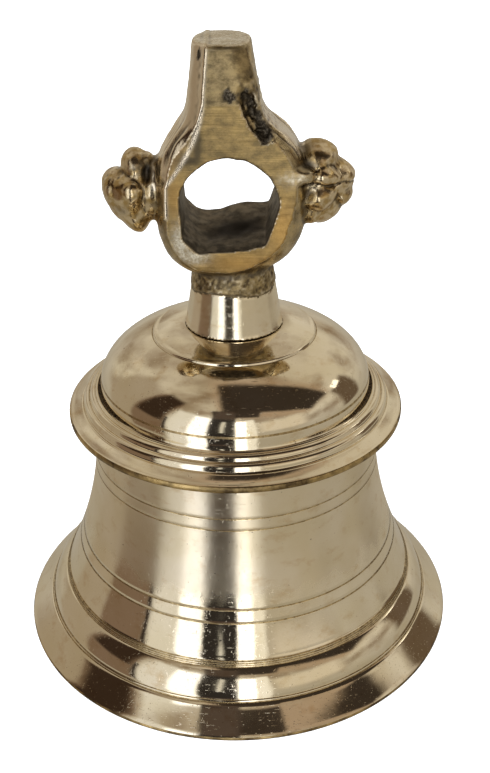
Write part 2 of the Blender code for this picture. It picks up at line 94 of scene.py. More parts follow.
floor_mesh = bpy.data.meshes.new("floor")
floor_mesh.from_pydata([(-30, -30, 0), (30, -30, 0), (30, 30, 0), (-30, 30, 0)], [], [(0, 1, 2, 3)])
floor = bpy.data.objects.new("floor", floor_mesh)
floor.location.z = cad_low.z - 0.0002
floor_paint = bpy.data.materials.new("floor_paper")
floor_paint.use_nodes = True
nodes, links = floor_paint.node_tree.nodes, floor_paint.node_tree.links
paper = nodes["Principled BSDF"]
paper.inputs["Base Color"].default_value = (0.50, 0.53, 0.57, 1.0)
paper.inputs["Roughness"].default_value = 0.9
paper.inputs["Specular IOR Level"].default_value = 0.1
paper.inputs["Emission Color"].default_value = (1.0, 1.0, 1.0, 1.0)
paper.inputs["Emission Strength"].default_value = 0.78
open_side = nodes.new("ShaderNodeMixShader")  # nothing hides the bell's mouth from below
links.new(nodes.new("ShaderNodeNewGeometry").outputs["Backfacing"], open_side.inputs[0])
links.new(paper.outputs[0], open_side.inputs[1])
links.new(nodes.new("ShaderNodeBsdfTransparent").outputs[0], open_side.inputs[2])
links.new(open_side.outputs[0], nodes["Material Output"].inputs["Surface"])
floor_mesh.materials.append(floor_paint)
floor.visible_glossy = False
bpy.context.scene.collection.objects.link(floor)

world = bpy.data.worlds.new("studio")
bpy.context.scene.world = world
world.use_nodes = True
sky, wires = world.node_tree.nodes, world.node_tree.links
sky.clear()
direction = sky.new("ShaderNodeTexCoord").outputs["Generated"]


def fill_socket(links, socket, value):
    """Give a socket a number, a colour or another node's output."""
    if isinstance(value, tuple):
        socket.default_value = (*value, 1.0)
    elif isinstance(value, (int, float)):
        socket.default_value = value
    else:
        links.new(value, socket)


def work_out(nodes, links, operation, *values):
    """One Math node."""
    node = nodes.new("ShaderNodeMath")
    node.operation = operation
    for socket, value in zip(node.inputs, values):
        fill_socket(links, socket, value)
    return node.outputs[0]


def between(nodes, links, value, low, high, out_low=0.0, out_high=1.0):
    """Map a value from one range to another, clamped."""
    change = nodes.new("ShaderNodeMapRange")
    change.inputs["From Min"].default_value = low
    change.inputs["From Max"].default_value = high
    change.inputs["To Min"].default_value = out_low
    change.inputs["To Max"].default_value = out_high
    links.new(value, change.inputs["Value"])
    return change.outputs["Result"]


def blend_colour(nodes, links, share, first, second):
    """Mix two colours, each a tuple or another node's output."""
    mix = nodes.new("ShaderNodeMix")
    mix.data_type = "RGBA"
    links.new(share, mix.inputs["Factor"])
    fill_socket(links, mix.inputs["A"], first)
    fill_socket(links, mix.inputs["B"], second)
    return mix.outputs["Result"]


split = sky.new("ShaderNodeSeparateXYZ")
wires.new(direction, split.inputs[0])
TO_DEGREES = 180.0 / math.pi
to_front = work_out(sky, wires, "MULTIPLY", split.outputs["Y"], -1.0)
# degrees round the bell, 0 in front and negative to the left
round_angle = work_out(sky, wires, "MULTIPLY",
                       work_out(sky, wires, "ARCTAN2", split.outputs["X"], to_front), TO_DEGREES)
up_angle = work_out(sky, wires, "MULTIPLY",
                    work_out(sky, wires, "ARCSINE", split.outputs["Z"]), TO_DEGREES)
# degrees over the bell, 0 in front, 90 overhead and 180 behind
over_angle = work_out(sky, wires, "MULTIPLY",
                      work_out(sky, wires, "ARCTAN2", split.outputs["Z"], to_front), TO_DEGREES)
sideways = work_out(sky, wires, "MULTIPLY", split.outputs["X"], 100.0)

ramp = sky.new("ShaderNodeValToRGB")
wires.new(work_out(sky, wires, "MULTIPLY_ADD", up_angle, 1.0 / 180.0, 0.5), ramp.inputs[0])
stops = ramp.color_ramp.elements
stops[0].position, stops[0].color = 0.0, (0.40, 0.36, 0.29, 1.0)
stops[1].position, stops[1].color = 1.0, (0.42, 0.36, 0.27, 1.0)
for place, colour in ((0.42, (0.42, 0.38, 0.31)), (0.50, (0.52, 0.48, 0.41)),
                      (0.62, (0.66, 0.61, 0.52)), (0.78, (0.60, 0.54, 0.44))):
    stop = stops.new(place)
    stop.color = (*colour, 1.0)
room_colour = ramp.outputs[0]
clutter = sky.new("ShaderNodeTexNoise")
clutter.inputs["Scale"].default_value = 3.2
clutter.inputs["Detail"].default_value = 3.0
wires.new(direction, clutter.inputs["Vector"])
clutter_share = work_out(sky, wires, "MULTIPLY",
                         between(sky, wires, clutter.outputs["Fac"], 0.42, 0.66, 0.0, 0.75),
                         between(sky, wires, up_angle, -8.0, 12.0))  # only above the floor
room_colour = blend_colour(sky, wires, clutter_share, room_colour, (0.20, 0.135, 0.08))


def window_share(value, low, high, soft):
    """1 between two angles and 0 outside, with soft edges."""
    distance = work_out(sky, wires, "ABSOLUTE",
                        work_out(sky, wires, "SUBTRACT", value, (low + high) / 2))
    edge = sky.new("ShaderNodeMapRange")
    edge.interpolation_type = "SMOOTHSTEP"
    edge.inputs["From Min"].default_value = (high - low) / 2 - soft / 2
    edge.inputs["From Max"].default_value = (high - low) / 2 + soft / 2
    edge.inputs["To Min"].default_value = 1.0
    edge.inputs["To Max"].default_value = 0.0
    wires.new(distance, edge.inputs["Value"])
    return edge.outputs[0]


# what stands round the bell: left, right, bottom and top in degrees, the softness of the edges
for turn, rise, left, right, bottom, top, soft, colour in (
        (round_angle, up_angle, -122, -90, -28, 50, 8, (0.38, 0.32, 0.245)),   # wall
        (sideways, over_angle, -20, 84, 43, 104, 12, (0.42, 0.320, 0.230)),    # brown ceiling
        (sideways, over_angle, -27, 30, 44, 58, 4, (0.045, 0.034, 0.027)),     # dark beam
        (sideways, over_angle, -15, 84, 55, 98, 6, (0.040, 0.030, 0.023)),     # dark far ceiling
        (round_angle, up_angle, -91, -59, -24, 54, 5, (0.20, 0.138, 0.095)),   # brown curtain
        (round_angle, up_angle, -88, -62, 10, 56, 6, (0.038, 0.023, 0.015)),   # its upper half
        (round_angle, up_angle, -60, -57, -16, 22, 2, (0.03, 0.022, 0.018)),   # its dark edge
        (round_angle, up_angle, -56, -22, -34, 43, 5, (0.80, 0.78, 0.74)),     # left window
        (round_angle, up_angle, -38, -23, -30, 40, 4, (1.75, 1.77, 1.86)),     # its bright middle
        (round_angle, up_angle, -22, 0, -60, 52, 2, (0.030, 0.026, 0.024)),    # dark figure
        (round_angle, up_angle, -22, 0, -80, -26, 6, (0.085, 0.062, 0.050)),   # its foot
        (round_angle, up_angle, -22, 0, 40, 56, 6, (0.085, 0.062, 0.050)),     # its head
        (round_angle, up_angle, 20, 58, 2, 28, 10, (0.70, 0.63, 0.52)),        # pale cloth
        (round_angle, up_angle, -12, -9, 4, 34, 2, (0.80, 0.78, 0.72)),        # gap in the figure
        (round_angle, up_angle, 0, 17, -34, 37, 3, (1.00, 0.97, 0.90)),        # right window
        (round_angle, up_angle, 0, 9, -30, 34, 2, (2.50, 2.50, 2.55)),         # its bright pane
        (round_angle, up_angle, 98, 121, -9, 30, 6, (0.13, 0.092, 0.062)),     # doorway
        (round_angle, up_angle, 104, 114, 28, 34, 2, (1.8, 1.7, 1.5))):        # lit pane in it
    share = work_out(sky, wires, "MULTIPLY", window_share(turn, left, right, soft),
                     window_share(rise, bottom, top, soft))
    room_colour = blend_colour(sky, wires, share, room_colour, colour)

room = sky.new("ShaderNodeBackground")
wires.new(room_colour, room.inputs[0])
white = sky.new("ShaderNodeBackground")
white.inputs["Color"].default_value = (1.0, 1.0, 1.0, 1.0)
white.inputs["Strength"].default_value = 1.1
pick = sky.new("ShaderNodeMixShader")
wires.new(sky.new("ShaderNodeLightPath").outputs["Is Camera Ray"], pick.inputs[0])
wires.new(room.outputs[0], pick.inputs[1])
wires.new(white.outputs[0], pick.inputs[2])
wires.new(pick.outputs[0], sky.new("ShaderNodeOutputWorld").inputs[0])


# Bell shell
# One casting of pale bell bronze, turned all over on the outside, then buffed: a mirror on dome,
# beads and mouth, and a satin waist.  Fine lines are cut in with a pointed tool, the flange's rim
# is left as cast, and the inside is only rough turned.
lip_radius = cad_high.x / MM
seat_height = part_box("bell_shell")[1].z / MM
LIP_LAND, LIP_EDGE = 2.4, 0.8
BOW_RADIUS, BOW_HEIGHT = 67.9, 8.7
BAND_RADIUS, BAND_TOP = 61.9, 17.9
WAIST_RADIUS, WAIST_TOP, WAIST_FLARE, WAIST_WALL = 47.5, 80.1, 2.13, 4.5
BOW_WALL = 6.2
FLANGE_RADIUS, FLANGE_TOP = 56.0, 82.3
BEAD_RADIUS, BEAD_FOOT = 51.0, 84.2
BEAD_STEP_RADIUS, BEAD_STEP = 48.8, 86.6
GROOVE_RADIUS, BEAD_TOP = 46.2, 88.9
DOME_RADIUS, DOME_FOOT, DOME_FULLNESS = 45.0, 89.4, 2.2
PLATE_RADIUS, PLATE_FOOT, PLATE_TOP = 26.8, 107.3, 108.2
STEM_FOOT_RADIUS = 15.8
BOLT_HOLE, INNER_SEAT, INNER_SEAT_RADIUS = 4.5, seat_height - 7.0, 19.0
CUT_LINES = ((30.6, -0.42, 0.42, 0.24), (34.7, -0.36, 0.42, 0.24),
             (61.2, -0.16, 0.40, 0.20), (65.2, -0.13, 0.40, 0.20))  # height, slope, width, depth
LINE_MARGIN = 0.3
SHELL_STEPS = 360

shell_outline = []  # (radius, height, finish), up the outside and down the inside


def turn_along(finish, points):
    """Add turned points, with the finish of the surface that leads up to each."""
    shell_outline.extend((radius, height, finish) for radius, height in points)


def waist_radius(height):
    share = (height - BAND_TOP) / (WAIST_TOP - BAND_TOP)
    return WAIST_RADIUS + (BAND_RADIUS - WAIST_RADIUS) * (1.0 - share) ** WAIST_FLARE


def waist_run(low, high, pitch=0.9):
    """The waist's satin flare between two heights."""
    count = max(1, round((high - low) / pitch))
    heights = [low + (high - low) * step / count for step in range(1, count + 1)]
    turn_along("satin", [(waist_radius(height), height) for height in heights])


def cut_line(radius, height, slope, width, depth):
    """A line cut with a pointed tool: both banks lie on the surface, the root below it."""
    turn_along("mirror", [(radius - slope * width / 2, height - width / 2)])
    turn_along("cut", [(radius - depth, height), (radius + slope * width / 2, height + width / 2)])


def rounded(foot, top, steps, swell=1.0):
    """A bead that leaves its foot upright and lies level at its top."""
    points = []
    for step in range(1, steps + 1):
        turn = math.pi / 2 * step / steps
        across, up = math.cos(turn) ** swell, math.sin(turn) ** swell
        points.append((top[0] + (foot[0] - top[0]) * across, foot[1] + (top[1] - foot[1]) * up))
    return points


def dome_run(foot_radius, foot, rim_radius, rim, steps):
    cut = (rim_radius / foot_radius) ** DOME_FULLNESS
    full_rise = (rim - foot) / (1.0 - cut) ** (1.0 / DOME_FULLNESS)
    points = []
    for step in range(1, steps + 1):
        height = (rim - foot) * math.sin(math.pi / 2 * step / steps)
        across = 1.0 - (height / full_rise) ** DOME_FULLNESS
        points.append((foot_radius * across ** (1.0 / DOME_FULLNESS), foot + height))
    return points


# lip cone, with a fine double step where it meets the band
turn_along("mirror", [(lip_radius - LIP_LAND, 0.0), (lip_radius - 0.5, 0.0)])
turn_along("rim", [(lip_radius - 0.12, 0.12), (lip_radius, 0.45), (lip_radius, LIP_EDGE),
                   (lip_radius - 0.25, LIP_EDGE + 0.35)])
for step in range(1, 9):
    share = step / 9
    radius = lip_radius - 0.4 + (BOW_RADIUS + 0.35 - lip_radius + 0.4) * share
    height = LIP_EDGE + 0.5 + (BOW_HEIGHT - 0.5 - LIP_EDGE - 0.5) * share
    turn_along("mirror", [(radius, height - 0.12 * math.sin(math.pi * share))])
turn_along("mirror", [(BOW_RADIUS + 0.42, BOW_HEIGHT - 0.42)])
turn_along("cut", [(BOW_RADIUS - 0.02, BOW_HEIGHT - 0.40), (BOW_RADIUS + 0.16, BOW_HEIGHT + 0.05)])
turn_along("mirror", [(BOW_RADIUS - 0.05, BOW_HEIGHT + 0.42)])
turn_along("cut", [(BOW_RADIUS - 0.42, BOW_HEIGHT + 0.52)])
band_start, band_end = (BOW_RADIUS - 0.40, BOW_HEIGHT + 0.78), (BAND_RADIUS + 0.25, BAND_TOP - 0.45)
for step in range(0, 13):
    share = step / 12
    swell = 0.75 * 4 * share * (1 - share)
    turn_along("mirror", [(band_start[0] + (band_end[0] - band_start[0]) * share + swell * 0.84,
                           band_start[1] + (band_end[1] - band_start[1]) * share + swell * 0.54)])
# three fine ridges between band and waist
for ridge in range(3):
    foot = BAND_TOP - 0.35 + 0.62 * ridge
    radius = waist_radius(max(foot, BAND_TOP)) - 0.02
    turn_along("cut", [(radius - 0.16, foot), (radius + 0.10, foot + 0.16)])
    turn_along("mirror", [(radius + 0.06, foot + 0.42)])
turn_along("cut", [(waist_radius(BAND_TOP + 1.6) - 0.14, BAND_TOP + 1.55)])
run_foot, pitch = BAND_TOP + 1.8, 0.8
for height, slope, width, depth in CUT_LINES:
    waist_run(run_foot, height - LINE_MARGIN, pitch)
    cut_line(waist_radius(height), height, slope, width, depth)
    run_foot, pitch = height + LINE_MARGIN, 0.9
waist_run(run_foot, WAIST_TOP - 1.2)
turn_along("satin", [(WAIST_RADIUS + 0.3, WAIST_TOP - 0.45), (WAIST_RADIUS + 1.1, WAIST_TOP)])
# flange, its rough rim, and the two beads above it
turn_along("rim", [(FLANGE_RADIUS - 0.6, WAIST_TOP), (FLANGE_RADIUS - 0.1, WAIST_TOP + 0.25),
                   (FLANGE_RADIUS, WAIST_TOP + 0.7), (FLANGE_RADIUS, WAIST_TOP + 1.3),
                   (FLANGE_RADIUS - 0.1, FLANGE_TOP - 0.25), (FLANGE_RADIUS - 0.4, FLANGE_TOP)])
for step in range(1, 7):
    share = step / 6
    turn_along("mirror", [(FLANGE_RADIUS - 0.4 + (BEAD_RADIUS + 0.15 - FLANGE_RADIUS + 0.4) * share,
                           FLANGE_TOP + (BEAD_FOOT - FLANGE_TOP) * share ** 1.35)])
turn_along("cut", [(BEAD_RADIUS - 0.02, BEAD_FOOT - 0.12)])
turn_along("mirror", rounded((BEAD_RADIUS, BEAD_FOOT), (BEAD_STEP_RADIUS + 0.35, BEAD_STEP), 8, 0.8))
turn_along("cut", [(BEAD_STEP_RADIUS + 0.08, BEAD_STEP - 0.22)])
turn_along("mirror", rounded((BEAD_STEP_RADIUS, BEAD_STEP - 0.05),
                             (GROOVE_RADIUS + 0.75, BEAD_TOP - 0.45), 7, 0.85))
turn_along("cut", [(GROOVE_RADIUS + 0.60, BEAD_TOP - 0.66)])
turn_along("mirror", [(GROOVE_RADIUS + 0.48, BEAD_TOP - 0.12), (GROOVE_RADIUS + 0.15, BEAD_TOP)])
turn_along("mirror", [(GROOVE_RADIUS - 0.15, BEAD_TOP - 0.10)])
# the groove at the dome's foot takes the near-black groove finish: painted shade in the groove
turn_along("groove", [(DOME_RADIUS + 0.56, BEAD_TOP - 0.85), (DOME_RADIUS + 0.40, BEAD_TOP - 0.85)])
turn_along("mirror", [(DOME_RADIUS + 0.10, DOME_FOOT - 0.45), (DOME_RADIUS + 0.0, DOME_FOOT)])
dome_points = dome_run(DOME_RADIUS, DOME_FOOT, PLATE_RADIUS + 0.35, PLATE_FOOT, 40)
turn_along("mirror", dome_points[:4])
line_radius, line_height = dome_points[4]
turn_along("cut", [(line_radius - 0.07, line_height)])
turn_along("mirror", dome_points[5:])
turn_along("cut", [(PLATE_RADIUS + 0.22, PLATE_FOOT - 0.10), (PLATE_RADIUS + 0.05, PLATE_FOOT - 0.08)])
turn_along("mirror", rounded((PLATE_RADIUS, PLATE_FOOT + 0.10), (PLATE_RADIUS - 0.9, PLATE_TOP), 7, 0.9))
for step in range(1, 10):
    share = step / 9
    turn_along("mirror", [(PLATE_RADIUS - 0.9 + (STEM_FOOT_RADIUS + 0.7 - PLATE_RADIUS + 0.9) * share,
                           PLATE_TOP + (seat_height - 0.05 - PLATE_TOP) * (1 - (1 - share) ** 1.4))])
turn_along("mirror", [(STEM_FOOT_RADIUS + 0.2, seat_height)])
# the seat round the stem's foot takes the near-black groove finish: painted shade in the gap
turn_along("groove", [(BOLT_HOLE + 0.3, seat_height)])
# bolt hole and the rough turned inside
turn_along("inside", [(BOLT_HOLE, seat_height - 0.3), (BOLT_HOLE, INNER_SEAT + 0.3),
                      (BOLT_HOLE + 0.3, INNER_SEAT), (INNER_SEAT_RADIUS - 0.4, INNER_SEAT)])
inner_dome = dome_run(DOME_RADIUS - 4.5, BEAD_FOOT, INNER_SEAT_RADIUS, INNER_SEAT, 16)
turn_along("inside", [*reversed(inner_dome), (DOME_RADIUS - 4.5, BEAD_FOOT)])
for step in range(0, 25):
    height = WAIST_TOP + (BAND_TOP - WAIST_TOP) * step / 24
    turn_along("inside", [(waist_radius(height) - WAIST_WALL, height)])
turn_along("inside", [(BOW_RADIUS - BOW_WALL + 0.4, BOW_HEIGHT + 0.5)])
turn_along("lip_inside", [(BOW_RADIUS - BOW_WALL + 1.2, BOW_HEIGHT - 0.4),
                          (lip_radius - LIP_LAND - 0.3, 0.35)])


def spun_piece(name, outline, steps, finishes):
    """Turn (radius, height, finish) points about the axis; radius 0 closes to a point."""
    shape = bmesh.new()
    slots = {finish: index for index, finish in enumerate(finishes)}
    rings = []
    for radius, height, finish in outline:
        if radius == 0.0:
            rings.append([shape.verts.new((0.0, 0.0, height * MM))] * steps)
            continue
        ring = []
        for step in range(steps):
            turn = math.tau * step / steps
            ring.append(shape.verts.new((radius * math.cos(turn) * MM, radius * math.sin(turn) * MM,
                                         height * MM)))
        rings.append(ring)
    closed = outline[0][0] > 0.0
    for here in range(len(rings) if closed else len(rings) - 1):
        lower, upper = rings[here], rings[(here + 1) % len(rings)]
        slot = slots[outline[(here + 1) % len(rings)][2]]
        for step in range(steps):
            after = (step + 1) % steps
            corners = []
            for corner in (lower[step], lower[after], upper[after], upper[step]):
                if corner not in corners:
                    corners.append(corner)
            face = shape.faces.new(corners)
            face.material_index = slot
            face.smooth = True
    bmesh.ops.recalc_face_normals(shape, faces=shape.faces)
    mesh = bpy.data.meshes.new(name)
    shape.to_mesh(mesh)
    shape.free()
    for paint in finishes.values():
        mesh.materials.append(paint)
    piece = bpy.data.objects.new(name, mesh)
    bpy.context.scene.collection.objects.link(piece)
    return piece


def start_metal(name, roughness=0.3, metallic=1.0, anisotropic=0.0):
    """A node material with one Principled shader, and Object coordinates in millimetres."""
    paint = bpy.data.materials.new(name)
    paint.use_nodes = True
    nodes, links = paint.node_tree.nodes, paint.node_tree.links
    shader = nodes["Principled BSDF"]
    shader.inputs["Metallic"].default_value = metallic
    shader.inputs["Roughness"].default_value = roughness
    shader.inputs["Anisotropic"].default_value = anisotropic
    place = nodes.new("ShaderNodeTexCoord")
    scale = nodes.new("ShaderNodeVectorMath")
    scale.operation = "SCALE"
    scale.inputs["Scale"].default_value = 1.0 / MM
    links.new(place.outputs["Object"], scale.inputs[0])
    return paint, nodes, links, shader, scale.outputs[0]


def grain(nodes, links, place, stretch, size, detail=2.0, rough=0.5):
    """Noise whose spots are about size millimetres, drawn out by stretch along X, Y and Z."""
    squeeze = nodes.new("ShaderNodeVectorMath")
    squeeze.operation = "DIVIDE"
    squeeze.inputs[1].default_value = [size * part for part in stretch]
    links.new(place, squeeze.inputs[0])
    texture = nodes.new("ShaderNodeTexNoise")
    texture.inputs["Scale"].default_value = 1.0
    texture.inputs["Detail"].default_value = detail
    texture.inputs["Roughness"].default_value = rough
    links.new(squeeze.outputs[0], texture.inputs["Vector"])
    return texture.outputs["Fac"]


def press(nodes, links, shader, layers):
    """Chain bumps of (height, depth in mm) into the shader's normal."""
    last = None
    for height, depth in layers:
        bump = nodes.new("ShaderNodeBump")
        bump.inputs["Strength"].default_value = 1.0
        bump.inputs["Distance"].default_value = depth * MM
        links.new(height, bump.inputs["Height"])
        if last is not None:
            links.new(last, bump.inputs["Normal"])
        last = bump.outputs["Normal"]
    links.new(last, shader.inputs["Normal"])


def ring_place(nodes, links, place, drift):
    """Coordinates that change with radius and height, and only a little round the bell."""
    parts = nodes.new("ShaderNodeSeparateXYZ")
    links.new(place, parts.inputs[0])
    square = nodes.new("ShaderNodeVectorMath")
    square.operation = "MULTIPLY"
    square.inputs[1].default_value = (1.0, 1.0, 0.0)
    links.new(place, square.inputs[0])
    radius = nodes.new("ShaderNodeVectorMath")
    radius.operation = "LENGTH"
    links.new(square.outputs[0], radius.inputs[0])
    joined = nodes.new("ShaderNodeCombineXYZ")
    links.new(radius.outputs["Value"], joined.inputs["X"])
    links.new(work_out(nodes, links, "MULTIPLY", parts.outputs["X"], drift), joined.inputs["Y"])
    links.new(parts.outputs["Z"], joined.inputs["Z"])
    return joined.outputs[0]


def mix_value(nodes, links, share, first, second):
    """Mix two values, each a number or another node's output."""
    mix = nodes.new("ShaderNodeMix")
    links.new(share, mix.inputs["Factor"])
    fill_socket(links, mix.inputs["A"], first)
    fill_socket(links, mix.inputs["B"], second)
    return mix.outputs["Result"]


def turned_bronze(name, roughness, spread, anisotropic, line_depth, bright_foot=None):
    """Bell bronze off the lathe: faint rings, a few specks and hairline scratches.

    Bright_foot is a height and the roughness below it, where the buff reached.
    """
    paint, nodes, links, shader, place = start_metal(name, roughness, 1.0, anisotropic)
    if anisotropic > 0.0:
        shader.inputs["Anisotropic Rotation"].default_value = 0.25
        tangent = nodes.new("ShaderNodeTangent")
        tangent.direction_type = "RADIAL"
        tangent.axis = "Z"
        links.new(tangent.outputs[0], shader.inputs["Tangent"])
    cloud = grain(nodes, links, place, (1, 1, 1), 14.0, 3.0)
    tone = blend_colour(nodes, links, between(nodes, links, cloud, 0.35, 0.65),
                        (0.84, 0.74, 0.54), (0.90, 0.81, 0.64))
    stain = grain(nodes, links, place, (1, 1, 0.6), 7.0, 4.0, 0.65)
    tone = blend_colour(nodes, links, between(nodes, links, stain, 0.55, 0.78, 0.0, 0.7), tone,
                        (0.66, 0.49, 0.28))
    speck = grain(nodes, links, place, (1, 1, 1), 0.9, 2.0, 0.6)
    pitted = between(nodes, links, speck, 0.735, 0.76)
    tone = blend_colour(nodes, links, pitted, tone, (0.16, 0.10, 0.05))
    links.new(tone, shader.inputs["Base Color"])
    smear = grain(nodes, links, place, (1, 1, 1), 6.0, 4.0)
    gloss = between(nodes, links, smear, 0.3, 0.7, roughness - spread, roughness + spread)
    if bright_foot:
        height = nodes.new("ShaderNodeSeparateXYZ")
        links.new(place, height.inputs[0])
        edge, foot_gloss = bright_foot
        uneven = work_out(nodes, links, "MULTIPLY_ADD", smear, 9.0, height.outputs["Z"])
        rise = between(nodes, links, uneven, edge + 3.5, edge + 10.5)
        gloss = mix_value(nodes, links, rise, foot_gloss, gloss)
    links.new(gloss, shader.inputs["Roughness"])
    rings = ring_place(nodes, links, place, 0.02)
    lines = grain(nodes, links, rings, (1, 1, 1), 0.22, 3.0, 0.6)
    wave = grain(nodes, links, place, (1, 1, 1), 9.0, 1.0)
    ripple = grain(nodes, links, place, (1, 1, 1), 2.6, 2.0)
    layers = [(wave, 0.06), (ripple, 0.009), (lines, line_depth)]
    for stretch, size in (((9, 1.2, 0.5), 0.45), ((2, 6, 5), 0.28), ((5, 2, 7), 0.25)):
        scratch = grain(nodes, links, place, stretch, size, 1.0)
        layers.append((between(nodes, links, scratch, 0.70, 0.78), 0.010))
    press(nodes, links, shader, layers)
    return paint


mirror = turned_bronze("buffed_bell_bronze", 0.075, 0.02, 0.0, 0.0012)
satin = turned_bronze("satin_bell_bronze", 0.31, 0.03, 0.90, 0.005, (BAND_TOP + 17.0, 0.085))


def dull_metal(name, colours, roughness, bump_size, bump_depth, metallic=1.0):
    """Unpolished metal in two tones with a rough skin."""
    paint, nodes, links, shader, place = start_metal(name, roughness, metallic)
    cloud = grain(nodes, links, place, (1, 1, 1), bump_size * 2.5, 4.0, 0.6)
    links.new(blend_colour(nodes, links, between(nodes, links, cloud, 0.38, 0.62), *colours),
              shader.inputs["Base Color"])
    links.new(between(nodes, links, cloud, 0.3, 0.7, roughness + 0.1, roughness - 0.1),
              shader.inputs["Roughness"])
    skin = grain(nodes, links, place, (1, 1, 1), bump_size, 4.0, 0.6)
    press(nodes, links, shader, [(skin, bump_depth)])
    return paint


shell_finishes = {
    "mirror": mirror,
    "satin": satin,
    "cut": dull_metal("cut_line", ((0.30, 0.21, 0.10), (0.62, 0.48, 0.26)), 0.30, 0.6, 0.02),
    # near black: painted shade in the groove at the dome's foot and in the gap round the stem's foot
    "groove": dull_metal("groove_painted_shade", ((0.035, 0.028, 0.02), (0.16, 0.11, 0.06)), 0.6, 0.5, 0.05),
    "rim": dull_metal("cast_rim", ((0.13, 0.09, 0.045), (0.60, 0.44, 0.20)), 0.36, 2.6, 0.16),
    "inside": dull_metal("rough_turned_inside", ((0.24, 0.18, 0.11), (0.38, 0.30, 0.18)), 0.45,
                         1.2, 0.05),
    "lip_inside": turned_bronze("lip_inside", 0.22, 0.05, 0.0, 0.004),
}
shell = spun_piece("shell", shell_outline, SHELL_STEPS, shell_finishes)
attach(shell, "root")
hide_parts("bell_shell")


# Crown casting
# One sand casting of yellower bronze: stem, loop with its hook hole, post and two budlike knobs.
# The stem is turned, the loop is ground flat front and rear, the edges are buffed, and the rest
# keeps its pitted skin.  It screws onto the bolt that comes up through the dome.
STEM_FOOT, STEM_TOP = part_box("crown_loop")[0].z / MM, 127.5
STEM_TOP_RADIUS = 13.0
NECK_BAND = 124.3
LOOP_MIDDLE, LOOP_WIDE, LOOP_TALL, LOOP_DEEP, LOOP_SQUARE = 153.0, 23.3, 25.5, 18.6, 3.0
GROUND_DEPTH = 14.0
POST_TOP, POST_SLOPE = 200.5, 0.27
HOLE_X, HOLE_Z, HOLE_RADIUS = -1.0, 153.4, 15.2
GULLY_X, GULLY_Z = 7.0, 181.3
KNOB_EDGE = 22.5  # how far out the knobs begin
BURR_FOOT = 150.0  # lowest point of the burr along the ground face
LOOP_FOOT, GRIND_FOOT, STEM_END = 129.0, 130.0, 136.0
CELL = 0.5  # size of the net that the crown is grown on
INSET = 0.02  # how far each mesh stays inside its CAD solid


def blend(first, second, width):
    """Join two fields with a fillet about width wide."""
    share = np.clip(0.5 + 0.5 * (second - first) / width, 0.0, 1.0)
    return second * (1.0 - share) + first * share - width * share * (1.0 - share)


def cut_away(field, tool, width):
    """Take a tool's field out of another, with the edge rounded by width."""
    return -blend(-field, tool, width)


def lump(x, y, z, centre, radii, fullness=2.0, lean=0.0):
    """An egg of metal; a fullness under 2 makes it angular.  Lean turns it about Y."""
    across, up = x - centre[0], z - centre[2]
    turned, risen = (across * math.cos(lean) + up * math.sin(lean),
                     up * math.cos(lean) - across * math.sin(lean))
    size = (np.abs(turned / radii[0]) ** fullness + np.abs((y - centre[1]) / radii[1]) ** fullness
            + np.abs(risen / radii[2]) ** fullness) ** (1.0 / fullness)
    return (size - 1.0) * min(radii)


LATTICE = np.random.default_rng(7).random((32, 32, 32)).astype(np.float32)


def skin(x, y, z, size, shift=0.0):
    """Smooth random unevenness between -1 and 1, with bumps about size apart."""
    value = 0.0
    spots, shares = [], []
    for axis in (x, y, z):
        place = axis / size + 1000.0 + shift
        cell = np.floor(place)
        share = place - cell
        spots.append(cell.astype(int) % 32)
        shares.append(share * share * (3.0 - 2.0 * share))
    for corner in range(8):
        weight = 1.0
        index = []
        for axis in range(3):
            far = corner >> axis & 1
            weight = weight * (shares[axis] if far else 1.0 - shares[axis])
            index.append((spots[axis] + far) % 32)
        value = value + weight * LATTICE[index[0], index[1], index[2]]
    return 2.0 * value - 1.0


def near(x, z, spot_x, spot_z, width, height=None):
    """1 at a spot on the front or rear, fading to 0 round it."""
    return np.exp(-((x - spot_x) / width) ** 2 - ((z - spot_z) / (height or width)) ** 2)


def knob_left(x, y, z):
    field = lump(x, y, z, (-24.0, 0, 156.0), (6.5, 9.8, 9.6))
    for centre, radii, fullness, lean, fillet in (
            ((-28.7, -1.0, 162.9), (4.7, 7.4, 6.0), 1.85, 0.35, 1.8),
            ((-25.4, -2.0, 166.0), (1.4, 3.0, 1.3), 2.0, 0.0, 0.8),
            ((-34.8, -0.5, 156.0), (4.9, 8.0, 6.5), 2.1, 0.25, 1.6),
            ((-30.6, -5.6, 156.2), (5.7, 5.4, 5.9), 2.0, 0.0, 1.0),
            ((-29.9, -8.9, 157.0), (3.4, 3.0, 3.5), 2.0, 0.0, 0.3),
            ((-30.6, 5.8, 156.2), (5.7, 5.4, 5.9), 2.0, 0.0, 1.0),
            ((-32.2, -0.5, 151.4), (5.6, 7.4, 4.8), 2.0, 0.5, 1.8),
            ((-29.9, -1.8, 148.6), (4.3, 6.8, 6.4), 1.9, 0.25, 2.2)):
        field = blend(field, lump(x, y, z, centre, radii, fullness, lean), fillet)
    for hand in (-1.0, 1.0):
        crevice = lump(x, y, z, (-25.2, hand * 9.4, 163.0), (1.5, 4.2, 3.6), 2.0, -0.2)
        field = cut_away(field, crevice, 0.8)
    return field


